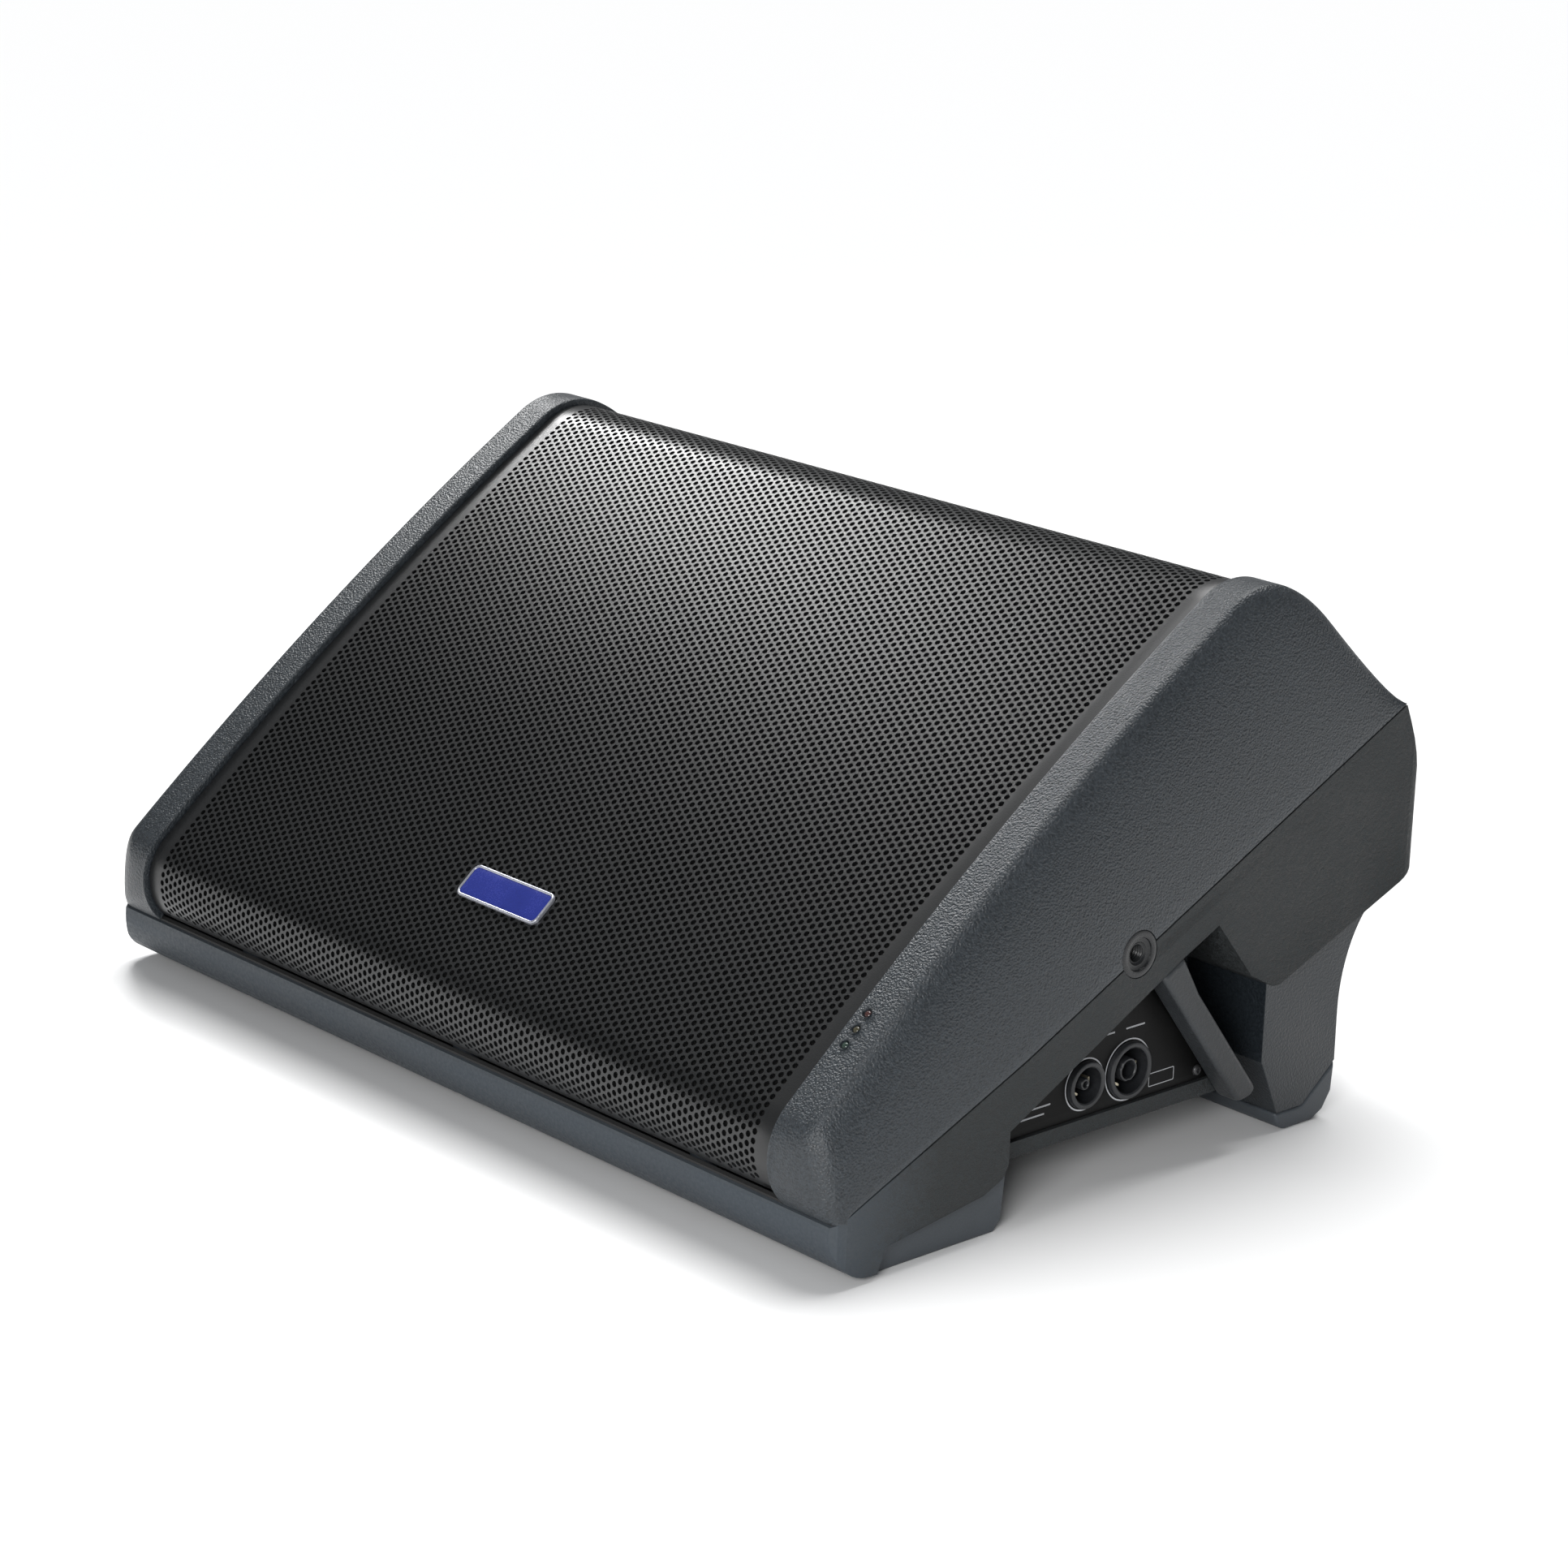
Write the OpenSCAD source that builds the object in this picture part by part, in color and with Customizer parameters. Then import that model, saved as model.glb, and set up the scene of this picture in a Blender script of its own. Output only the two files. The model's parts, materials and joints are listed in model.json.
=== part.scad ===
// Floor stage monitor: a two-shell moulded wedge cabinet with a 12 inch coaxial driver.
// +Z is up, the grille faces -Y, and the origin is the centre of the footprint on the floor.

/* [Cabinet] */
// Overall width across the two side faces
body_w = 570; // [550:1:600]
// Overall depth, front roll to rear bulge
body_d = 414; // [410:1:420]
// Moulded wall thickness
wall = 4; // [3:0.5:5]
// Half width between the raised side rims
rim_in = 249; // [247:1:250]
// Half width at the outer crease of the rims
rim_out = 268; // [264:1:272]
// Half width of the inner body behind the side recesses
core_half = 270; // [269:1:272]
// Plan radius of the rear corners
rear_corner_r = 20; // [14:1:26]

/* [Grille] */
// How far the grille lies below the rims
grille_inset = 3.5; // [2.5:0.1:4]
// Grille sheet thickness
grille_t = 1.5; // [1:0.1:1.8]
// Depth of the baffle's front plane below the sloping face
baffle_depth = 22; // [20:0.5:24]
// Baffle thickness
baffle_t = 10; // [8:1:12]

/* [Driver] */
// Outer radius of the basket flange
flange_r = 157; // [156:0.5:158]
// Radius of the opening in the baffle
cutout_r = 143; // [142.5:0.1:143.5]
// Radius of the driver screw circle
screw_circle_r = 150.5; // [150:0.1:151]
// Number of driver screws
screw_count = 8; // [4:1:12]
// Outer radius of the magnet system
magnet_r = 60; // [58:1:62]

/* [Ports] */
// Distance of each port axis from the middle
port_x = 200; // [196:1:204]
// Inner radius of the port tube
port_r = 32; // [28:1:33]
// Length of the port tube behind the baffle
port_len = 85; // [60:1:90]

/* [Side sockets] */
// Nominal radius of the M10 thread
thread_r = 5; // [4:0.5:6]
// Depth of the threaded hole
thread_len = 18; // [12:1:19]
// Outer radius of the metal insert
insert_r = 12; // [11:0.5:12.5]

/* [Hidden] */
$fn = 64;
hull_fn = 32;
far = 400;
half_w = body_w / 2;
mid_d = body_d / 2;

// Side outline of the front shell, as [distance from the front, height].
// Angles are those of the outline's tangent, up the sloping face.
roll_c = [32, 57];
roll_r = 32;
roll_start = 138.6;
face_start = 41.4;
face_end = 32.4;
face_r = 2090;
top_r = 42;
top_end = -22;
back_r = 80;
back_end = -44.5;

function normal(t) = [-sin(t), cos(t)];
function arc(c, r, t0, t1, n) = [for (i = [0:n]) c + r * normal(t0 + (t1 - t0) * i / n)];

roll_top = roll_c + roll_r * normal(face_start);
face_c = roll_top - face_r * normal(face_start);
face_top = face_c + face_r * normal(face_end);
top_c = face_top - top_r * normal(face_end);
top_back = top_c + top_r * normal(top_end);
back_c = top_back - back_r * normal(top_end);
back_top = back_c + back_r * normal(back_end);

// Parting line between the two shells, seen from the side: two straight runs with a slight knee.
part_front = roll_c + roll_r * normal(roll_start);
part_knee = [130, 85.5];
front_run = part_knee - part_front;
front_angle = atan2(front_run[1], front_run[0]);
rear_angle = 26.2;
part_angle = (front_angle + rear_angle) / 2;
part_normal = normal(part_angle);
part_gap = 1;
back_dir = [cos(back_end), sin(back_end)];
back_run = ((part_knee - back_top) * normal(rear_angle)) / (back_dir * normal(rear_angle));
part_back = back_top + back_run * back_dir;
function height_over(p) = min((p - part_front) * normal(front_angle), (p - part_knee) * normal(rear_angle));

// The front shell's outline moved inwards by d. It runs on past the parting line by skirt.
function front_outline(d, skirt) = concat(
    skirt > 0 ? [roll_c + (roll_r - d) * normal(roll_start) - [0, skirt]] : [],
    arc(roll_c, roll_r - d, roll_start, face_start, 12),
    arc(face_c, face_r - d, face_start - 1, face_end, 9),
    arc(top_c, top_r - d, face_end - 7, top_end, 8),
    arc(back_c, back_r - d, top_end - 5, back_end, 4),
    [part_back - d * normal(back_end) + skirt * back_dir]
);

// Rear bulge and the lower rear edge of the rear shell.
bulge_r = 45;
bulge_c = [body_d - bulge_r, 148];
bulge_start = -66;
bulge_end = -115;
heel_r = 12;
heel_c = bulge_c + (bulge_r - heel_r) * normal(bulge_end);
tail_angle = 22;
tail_start = heel_c + heel_r * normal(tail_angle - 180);
function tail_z(s) = tail_start[1] + (s - tail_start[0]) * tan(tail_angle);

// Lip under the grille, and the underside of the rear shell.
lip_c = [34, 27];
lip_r = 24;
base_z = lip_c[1] - lip_r;
arch_z = 29.5;
arch_back = 300;

// Sloping face frame: the middle of the baffle's front plane.
face_angle = atan2(face_top[1] - roll_top[1], face_top[0] - roll_top[0]);
baffle_mid = (roll_top + face_top) / 2 - baffle_depth * normal(face_angle);
pocket_half = 166;
baffle_half = 170;

// Side features of the rear shell, as [distance from the front, height].
rail_front = [121, 52];
rail_back = [221, 105.5];
slot_top = [[236, 113.5], [259, 124.5], [285, 93], [arch_back + 5, 82.2]];
side_under = [slot_top[0], [250, 100], [280, 85], [arch_back + 6.5, tail_z(arch_back + 6.5)]];
strut_foot = [[294.8, 32.4], [291, 28.5], [283, 27], [280.2, 29.1]];
strut_mid = [248.8, 91.6];
slot_in = 225;
foot_in = 232;
foot_out = 279;
leg_in = 215;
leg_out = 278;
socket_s = 203.4;
socket_at = [socket_s, part_knee[1] + (socket_s - part_knee[0]) * tan(rear_angle)];
socket_len = 22;

// Control panels in the side recesses.
panel_face = 268;
panel_t = 2.8;
panel_gap = 0.3;
panel_pts = [[123, 38], [279, 38], [226, 107], [220, 107], [123, 55]];
inlet_at = [188, 54.5];
outlet_at = [218, 55];
xlr_in_at = [164, 53.5];
xlr_link_at = [193, 53.5];
volume_at = [219, 56];
preset_at = [244, 54];
button_at = [[200, 83], [214, 83]];
button_r = 3;

// Places of the screws that hold the shells together.
shell_screw_x = [-180, 0, 180];
shell_screw_front = 24;
shell_screw_rear = 370;

// Levels of the driver along its axis, from the baffle's front plane.
flange_t = 4;
basket_back = -77;
top_plate_t = 6;
magnet_t = 10;
yoke_t = 6;
yoke_back = basket_back - top_plate_t - magnet_t - yoke_t;
hf_back = yoke_back - 25;
coil_r = 32.2;

// ---- Frames and helpers ----

// A side-view shape extruded across the width, from x0 to x1.
module across(x0, x1) {
    translate([x0, -mid_d, 0]) rotate([90, 0, 90]) linear_extrude(x1 - x0) children();
}

// The same on both sides of the cabinet.
module both_sides(x0, x1) {
    across(x0, x1) children();
    across(-x1, -x0) children();
}

// A cylinder along X at a side-view place, from x0 to x1.
module pin_across(at, r, x0, x1) {
    translate([x0, at[0] - mid_d, at[1]]) rotate([0, 90, 0]) cylinder(r = r, h = x1 - x0);
}

// Moves its children to the middle of the baffle, +Z out of the sloping face.
module driver_frame() {
    translate([0, baffle_mid[0] - mid_d, baffle_mid[1]]) rotate([face_angle, 0, 0]) children();
}

module mirrored_if(flip) {
    mirror([flip ? 1 : 0, 0, 0]) children();
}

// The side-view area above the parting line, raised by lift.
part_start = part_front - 100 * [cos(front_angle), sin(front_angle)];
part_end = part_knee + 500 * [cos(rear_angle), sin(rear_angle)];
module above_parting(lift) {
    translate(lift * part_normal)
        polygon([part_start, part_knee, part_end, [part_end[0], 2 * far], [part_start[0], 2 * far]]);
}

module below_parting(lift) {
    translate(lift * part_normal)
        polygon([part_start, [part_start[0], -far], [part_end[0], -far], part_end, part_knee]);
}

// A rectangle in the side view, in the baffle's own frame.
module baffle_rect(y0, y1, z0, z1) {
    translate(baffle_mid) rotate(face_angle) translate([y0, z0]) square([y1 - y0, z1 - z0]);
}

// The plan outline of the whole cabinet, with rounded rear corners and swept front ones.
function plan_right() = concat(
    [for (t = [0:15:90]) [rim_in + 1 + (half_w - rim_in - 1) * sin(t), -mid_d + 18 * (1 - cos(t))]],
    [for (t = [0:11.25:90]) [half_w - rear_corner_r * (1 - cos(t)), mid_d - rear_corner_r * (1 - sin(t))]]
);
function flipped(pts) = [for (i = [len(pts) - 1:-1:0]) [-pts[i][0], pts[i][1]]];

module plan_block() {
    linear_extrude(far) polygon(concat(plan_right(), flipped(plan_right())));
}

// Everything outside the plan outline moved inwards by the wall.
module plan_margin() {
    difference() {
        across(-far, far) translate([-10, -1]) square([far + 110, far]);
        plan_inset(wall);
    }
}
module plan_inset(d) {
    linear_extrude(far) offset(delta = -d) polygon(concat(plan_right(), flipped(plan_right())));
}

// ---- Front shell ----

// Squeezes an outline towards the parting line, which crowns the side of a cheek.
function squeezed(pts, k) = [for (p = pts) p - k * height_over(p) * part_normal];
function crown_x(k) = rim_out + (half_w - rim_out) * sqrt(1 - pow(1 - k, 2));

module cheek(d, x0) {
    hull() {
        across(x0, rim_out - d) polygon(front_outline(d, d));
        across(crown_x(0.1) - d, crown_x(0.1) - d + 0.1) polygon(squeezed(front_outline(d, d), 0.1));
        across(crown_x(0.25) - d, crown_x(0.25) - d + 0.1) polygon(squeezed(front_outline(d, d), 0.25));
        across(crown_x(0.5) - d, crown_x(0.5) - d + 0.1) polygon(squeezed(front_outline(d, d), 0.5));
        across(crown_x(0.8) - d, crown_x(0.8) - d + 0.1) polygon(squeezed(front_outline(d, d), 0.8));
        across(half_w - d - 0.1, half_w - d) polygon(squeezed(front_outline(d, d), 0.97));
    }
}

module socket_boss() {
    pin_across(socket_at, insert_r + 3, half_w - socket_len - wall, half_w);
}

module cheek_shell() {
    difference() {
        cheek(0, rim_in);
        difference() {
            cheek(wall, rim_in + wall);
            socket_boss();
            plan_margin();
        }
    }
}

// The baffle, with the recess for the grille in front of it and the hollow behind it.
module middle_section() {
    grille_end = 352;
    difference() {
        union() {
            polygon(front_outline(9.5, 20));
            intersection() {
                polygon(front_outline(0, 20));
                translate([grille_end, 0]) square(far);
            }
        }
        baffle_rect(-pocket_half, pocket_half, 0, 60);
        difference() {
            union() {
                polygon(front_outline(13.5, 20));
                intersection() {
                    polygon(front_outline(wall, 20));
                    translate([grille_end + wall, 0]) square(far);
                }
            }
            baffle_rect(-baffle_half, baffle_half, -baffle_t, 60);
        }
    }
}

module led_hole(i) {
    at = roll_top + (38 + 9.1 * i) * [cos(face_start), sin(face_start)];
    translate([256.4, at[0] - mid_d, at[1]]) rotate([face_start, 0, 0]) children();
}

module front_shell_solid() {
    intersection() {
        union() {
            cheek_shell();
            mirror([1, 0, 0]) cheek_shell();
            across(-rim_in - 0.5, rim_in + 0.5) middle_section();
            intersection() {
                across(-far, far) polygon(front_outline(1, 20));
                for (x = shell_screw_x) {
                    translate([x, shell_screw_front - mid_d, 30]) cylinder(r = 5, h = 24);
                    translate([x, shell_screw_rear - mid_d, 195]) cylinder(r = 6, h = 45);
                }
            }
        }
        across(-far, far) above_parting(0);
        plan_block();
    }
}

module front_shell() {
    color([0.16, 0.18, 0.20]) difference() {
        front_shell_solid();
        driver_frame() {
            translate([0, 0, -20]) cylinder(r = cutout_r, h = 30);
            for (side = [-1, 1]) translate([side * port_x, -50, -20]) cylinder(r = port_r + 3.3, h = 30);
            for (i = [0:screw_count - 1]) rotate((i + 0.5) * 360 / screw_count)
                translate([screw_circle_r, 0, -9]) cylinder(r = 2.5, h = 20);
        }
        for (side = [-1, 1]) pin_across(socket_at, insert_r, side * half_w - 30, side * half_w + 30);
        for (i = [0:2]) led_hole(i) translate([0, 0, -10]) cylinder(r = 2.3, h = 20);
        for (x = shell_screw_x) {
            translate([x, shell_screw_front - mid_d, 20]) cylinder(r = 2.1, h = 30);
            translate([x, shell_screw_rear - mid_d, 190]) cylinder(r = 2.1, h = 34);
        }
        grille_screw_places() translate([0, 0, -20]) cylinder(r = 1.5, h = 30);
    }
}

// ---- Rear shell ----

// Rear bulge and heel, from the parting line down to the lower rear edge.
rear_end = concat(
    [part_back],
    arc(bulge_c, bulge_r, bulge_start, bulge_end, 12),
    arc(heel_c, heel_r, bulge_end - 5, tail_angle - 180, 8)
);
function lip_pts() = [for (i = [0:14]) lip_c + lip_r * normal(75.5 + (180 - 75.5) * i / 14)];

// Underside of the middle of the shell, and the higher one beside it that carries the front feet.
core_deep = concat(lip_pts(), [[112, base_z], [131, arch_z], [arch_back - 6, arch_z],
    [arch_back, arch_z + 6], [arch_back, tail_z(arch_back)]]);
foot_line = [[38, base_z], [43, 15], [105, 24], [118, arch_z]];
core_shallow = concat(lip_pts(), foot_line, [[arch_back - 6, arch_z],
    [arch_back, arch_z + 6], [arch_back, tail_z(arch_back)]]);
function reversed(pts) = [for (i = [len(pts) - 1:-1:0]) pts[i]];

module core_2d(under) {
    intersection() {
        polygon(concat([[10.8, 60]], under, reversed(rear_end), [[part_back[0], far]]));
        below_parting(-part_gap);
    }
}

module core_hollow_2d(under) {
    intersection() {
        offset(delta = -wall) polygon(concat([[10.8, 90]], under, reversed(rear_end),
            [[part_back[0], far]]));
        below_parting(10);
    }
}

// The outer side plate: the rail, the rear flank and the block in front of the recess.
function side_pts() = concat(lip_pts(), [for (i = [0:2]) foot_line[i]],
    [[117.5, 29.4], [121, 36], rail_front, rail_back], side_under,
    reversed(rear_end), [[part_back[0], far], [10.8, 60]]);

module side_plate_2d() {
    intersection() {
        polygon(side_pts());
        below_parting(-part_gap);
    }
}

module side_hollow_2d() {
    intersection() {
        offset(delta = -wall) polygon(side_pts());
        below_parting(10);
    }
}

module strut_2d() {
    polygon(concat([rail_back - [0, 0.1], slot_top[0] - [0, 0.1], strut_mid], strut_foot));
}

module slot_2d() {
    polygon(concat(slot_top, [[arch_back + 5, 20], [strut_foot[0][0] + 6, 20], strut_foot[0], strut_mid]));
}

// Leg under the rear corner, with a hollowed rear face; its foot is a separate cap.
leg_rear_c = [402, 56];
leg_rear_r = 41;
leg_rear_rise = 62;
leg_top = 390;
cap_line = [[361.4, 29.5], [338, 10.5], [318, 10.5]];
module leg_2d() {
    polygon(concat([[arch_back + 0.1, tail_z(arch_back) - 0.1], [arch_back + 0.1, 50], [306, 39],
        [319, cap_line[2][1]], cap_line[1], cap_line[0]],
        [for (i = [0:14]) leg_rear_c + [-leg_rear_r * cos(5 * i), leg_rear_rise * sin(5 * i)]],
        [[leg_top, tail_z(leg_top) - 0.1]]));
}

module panel_2d(grow) {
    offset(delta = grow) polygon(panel_pts);
}

module rear_solid() {
    intersection() {
        union() {
            across(-foot_in, foot_in) core_2d(core_deep);
            both_sides(foot_in, core_half) core_2d(core_shallow);
            both_sides(core_half, half_w) side_plate_2d();
        }
        plan_block();
    }
}

module rear_hollow() {
    core_in = core_half - 9;
    difference() {
        union() {
            across(-foot_in + wall, foot_in - wall) core_hollow_2d(core_deep);
            across(-core_in, core_in) core_hollow_2d(core_shallow);
            across(-half_w + wall, half_w - wall) side_hollow_2d();
        }
        both_sides(slot_in - wall, half_w) offset(delta = wall) slot_2d();
        for (side = [0, 1]) mirrored_if(side == 1) socket_boss();
        for (x = shell_screw_x) {
            translate([x, shell_screw_front - mid_d, 0]) cylinder(r = 6.5, h = 60);
            translate([x, shell_screw_rear - mid_d, 60]) cylinder(r = 8.5, h = 160);
        }
        plan_margin();
    }
}

module rear_shell() {
    color([0.09, 0.10, 0.10]) difference() {
        rear_solid();
        rear_hollow();
        both_sides(slot_in, half_w + 1) slot_2d();
        both_sides(panel_face - panel_t, core_half) panel_2d(panel_gap);
        both_sides(core_half - 12, core_half - 1) panel_2d(-6);
        pin_across(inlet_at, 10.7, 240, core_half);
        pin_across(outlet_at, 13.2, 240, core_half);
        for (at = [xlr_in_at, xlr_link_at]) pin_across(at, 12.2, -core_half, -240);
        for (at = panel_screw_at) both_sides(panel_face - 7, core_half) translate(at) circle(r = 1.45);
        for (side = [-1, 1]) pin_across(socket_at, insert_r, side * half_w - 30, side * half_w + 30);
        for (x = shell_screw_x) {
            translate([x, shell_screw_front - mid_d, 0]) cylinder(r = 5, h = 14);
            translate([x, shell_screw_front - mid_d, 0]) cylinder(r = 2.8, h = 60);
            translate([x, shell_screw_rear - mid_d, 60]) cylinder(r = 5.2, h = 124);
            translate([x, shell_screw_rear - mid_d, 60]) cylinder(r = 2.8, h = 160);
        }
    }
}

module rear_leg() {
    difference() {
        across(leg_in, leg_out) leg_2d();
        across(slot_in, half_w) slot_2d();
    }
}
module rear_leg_right() { color([0.10, 0.11, 0.12]) rear_leg(); }
module rear_leg_left() { color([0.10, 0.11, 0.12]) mirror([1, 0, 0]) rear_leg(); }

module side_strut() {
    across(core_half + 0.1, half_w) strut_2d();
}
module side_strut_right() { color([0.10, 0.11, 0.12]) side_strut(); }
module side_strut_left() { color([0.10, 0.11, 0.12]) mirror([1, 0, 0]) side_strut(); }

// Seal strip in the joint between the two shells.
module gasket_strip(s0, s1) {
    intersection() {
        above_parting(-part_gap);
        below_parting(0);
        translate([s0, 0]) square([s1 - s0, far]);
    }
}
module shell_gasket() {
    color([0.03, 0.03, 0.03]) difference() {
        intersection() {
            across(-half_w, half_w) gasket_strip(12, part_back[0] - 1.2);
            plan_inset(1);
        }
        intersection() {
            across(-half_w, half_w) gasket_strip(14, part_back[0] - 3.2);
            plan_inset(3);
        }
        for (side = [-1, 1]) pin_across(socket_at, insert_r + 0.2, side * half_w - 30, side * half_w + 30);
    }
}

// ---- Grille, badge and indicators ----

module face_sheet_2d(d0, d1, lift, end) {
    intersection() {
        difference() {
            polygon(front_outline(d0, 20));
            polygon(front_outline(d1, 20));
        }
        above_parting(lift);
        square([end, far]);
    }
}

module grille() {
    color([0.05, 0.05, 0.05]) difference() {
        across(-rim_in + 0.4, rim_in - 0.4)
            face_sheet_2d(grille_inset, grille_inset + grille_t, 1.2, 351);
        grille_screw_places() translate([0, 0, -10]) cylinder(r = 2, h = 20);
    }
}

module grille_foam() {
    color([0.02, 0.02, 0.02])
        across(-rim_in + 3, rim_in - 3) face_sheet_2d(5.6, 8.2, 5, 330);
}

// Four places on the rear slope of the grille, +Z out of it.
module grille_screw_places() {
    at = back_top - grille_inset * normal(back_end) + 3 * back_dir;
    for (x = [-210, -70, 70, 210])
        translate([x, at[0] - mid_d, at[1]]) rotate([back_end, 0, 0]) children();
}

module grille_screws() {
    color([0.1, 0.1, 0.1]) grille_screw_places() {
        cylinder(r = 3.6, h = 2);
        translate([0, 0, -11.9]) cylinder(r = 1.45, h = 12);
    }
}

badge_size = [62.6, 19.2];
badge_down = 119.6;
badge_tilt = asin(badge_down / face_r);
face_half = norm(face_top - roll_top) / 2;
badge_z = baffle_depth + (pow(face_half, 2) - pow(badge_down, 2)) / (2 * face_r) - grille_inset + 0.1;
module badge_plate() {
    color([0.12, 0.18, 0.62]) driver_frame()
        translate([3, -badge_down, badge_z]) rotate([badge_tilt, 0, 0])
            linear_extrude(2) square(badge_size, center = true);
}

module led_lens(i) {
    led_hole(i) translate([0, 0, -8]) {
        cylinder(r = 2.2, h = 7.5);
        translate([0, 0, -1]) cylinder(r = 1.6, h = 1.2);
    }
}
module power_led() { color([0.2, 0.5, 0.3]) led_lens(0); }
module signal_led() { color([0.5, 0.5, 0.2]) led_lens(1); }
module limit_led() { color([0.5, 0.2, 0.2]) led_lens(2); }

module led_board() {
    color([0.1, 0.3, 0.15]) led_hole(1) translate([-3, -14, -10.8]) cube([13, 28, 1.6]);
}

// ---- Feet and side sockets ----

module front_foot() {
    across(foot_in, foot_out) polygon([[39.5, 4], [44, 0], [119, 0], [124, 5], [126, arch_z - 0.2],
        [118, arch_z - 0.2], [105, 23.8], [43.3, 14.8], [39.5, 5.5]]);
}
module front_foot_right() { color([0.24, 0.26, 0.29]) front_foot(); }
module front_foot_left() { color([0.24, 0.26, 0.29]) mirror([1, 0, 0]) front_foot(); }

module rear_foot() {
    across(leg_in + 1, leg_out) polygon([[318, 10.3], [321, 3], [326, 0], [347, 0], [355, 4],
        [361, 13], [362.3, 29.2], [338, 10.2]]);
}
module rear_foot_right() { color([0.12, 0.14, 0.15]) rear_foot(); }
module rear_foot_left() { color([0.12, 0.14, 0.15]) mirror([1, 0, 0]) rear_foot(); }

module side_socket() {
    difference() {
        pin_across(socket_at, insert_r - 0.05, half_w - socket_len, half_w);
        pin_across(socket_at, thread_r, half_w - thread_len, half_w + 1);
    }
}
module side_socket_right() { color([0.35, 0.36, 0.38]) side_socket(); }
module side_socket_left() { color([0.35, 0.36, 0.38]) mirror([1, 0, 0]) side_socket(); }

module shell_screws() {
    color([0.15, 0.15, 0.16]) for (x = shell_screw_x) {
        translate([x, shell_screw_front - mid_d, 10.9]) cylinder(r = 4.6, h = 3);
        translate([x, shell_screw_front - mid_d, 13.8]) cylinder(r = 2.05, h = 33);
        translate([x, shell_screw_rear - mid_d, 180.9]) cylinder(r = 4.6, h = 3);
        translate([x, shell_screw_rear - mid_d, 183.8]) cylinder(r = 2.05, h = 38);
    }
}

// ---- Coaxial driver, in the baffle's frame ----

module woofer_basket() {
    color([0.08, 0.08, 0.09]) driver_frame() difference() {
        rotate_extrude($fn = 96) polygon([[139, flange_t], [flange_r, flange_t], [flange_r, 0],
            [142, 0], [142, -16], [67, -74], [67, basket_back], [36.5, basket_back],
            [36.5, basket_back + 3], [61, basket_back + 3], [61, -63], [64, -63], [64, -71],
            [139, -13]]);
        for (i = [0:5]) rotate(i * 60) translate([74, -26, -72]) cube([58, 52, 60]);
        for (i = [0:screw_count - 1]) rotate((i + 0.5) * 360 / screw_count)
            translate([screw_circle_r, 0, -1]) cylinder(r = 2.7, h = 8);
    }
}

module woofer_gasket() {
    color([0.05, 0.05, 0.05]) driver_frame() translate([0, 0, flange_t]) difference() {
        cylinder(r = flange_r, h = 3, $fn = 96);
        translate([0, 0, -1]) cylinder(r = 145, h = 5, $fn = 96);
        for (i = [0:screw_count - 1]) rotate((i + 0.5) * 360 / screw_count)
            translate([screw_circle_r, 0, -1]) cylinder(r = 2.7, h = 8);
    }
}

// Half-roll rubber edge from the cone to the flange.
module woofer_surround() {
    roll_mid = 130.5;
    color([0.03, 0.03, 0.03]) driver_frame() rotate_extrude($fn = 96) polygon(concat(
        [[144.6, flange_t], [144.6, flange_t + 1]],
        [for (i = [0:10]) [roll_mid + 9 * cos(18 * i), flange_t + 1 + 7 * sin(18 * i)]],
        [[116, flange_t + 1.2], [116, flange_t + 0.3]],
        [for (i = [10:-1:0]) [roll_mid + 8.1 * cos(18 * i), flange_t + 0.3 + 6.6 * sin(18 * i)]],
        [[139, flange_t]]));
}

// Corrugated centring disc between the basket's ledge and the coil former.
module woofer_spider() {
    rings = 14;
    color([0.62, 0.5, 0.25]) driver_frame() rotate_extrude($fn = 96) polygon(concat(
        [for (i = [0:rings]) [33.3 + i * 30.5 / rings, -61 + (i % 2) * 1.6]],
        [for (i = [rings:-1:0]) [33.3 + i * 30.5 / rings, -62 + (i % 2) * 1.6]]));
}

module woofer_cone() {
    color([0.07, 0.07, 0.08]) driver_frame() rotate_extrude($fn = 96) polygon([[33.0, -39],
        [33.0, -36.6], [75, -17], [115, 4], [121, 4], [121, 2.8], [115.6, 2.8], [75.6, -18.4],
        [34.4, -37.6], [34.4, -39]]);
}

module voice_coil() {
    color([0.72, 0.4, 0.2]) driver_frame() rotate_extrude($fn = 96) polygon([[coil_r, -37],
        [coil_r + 0.7, -37], [coil_r + 0.7, -75], [coil_r + 1.6, -75], [coil_r + 1.6, -85],
        [coil_r, -85]]);
}

module woofer_top_plate() {
    color([0.5, 0.5, 0.52]) driver_frame() translate([0, 0, basket_back - top_plate_t]) difference() {
        cylinder(r = magnet_r, h = top_plate_t);
        translate([0, 0, -1]) cylinder(r = 34.4, h = top_plate_t + 2);
    }
}

module woofer_magnet() {
    color([0.3, 0.3, 0.33]) driver_frame()
        translate([0, 0, basket_back - top_plate_t - magnet_t]) difference() {
            cylinder(r = magnet_r, h = magnet_t);
            translate([0, 0, -1]) cylinder(r = 42, h = magnet_t + 2);
        }
}

module woofer_yoke() {
    color([0.5, 0.5, 0.52]) driver_frame() rotate_extrude() polygon([[23, yoke_back],
        [magnet_r, yoke_back], [magnet_r, yoke_back + yoke_t], [31.6, yoke_back + yoke_t],
        [31.6, basket_back + 1], [23, basket_back + 1]]);
}

// High-frequency horn, through the pole and out in front of the cone's neck.
module horn() {
    color([0.06, 0.06, 0.06]) driver_frame() rotate_extrude($fn = 96) polygon([[13, yoke_back],
        [22.8, yoke_back], [22.8, -60], [27, -44], [31, -33], [38, -24.5], [48, -16.5], [58, -11.5],
        [60, -10], [58, -9], [46, -14.2], [36, -22], [28.6, -32], [24, -45], [18, -70]]);
}

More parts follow.
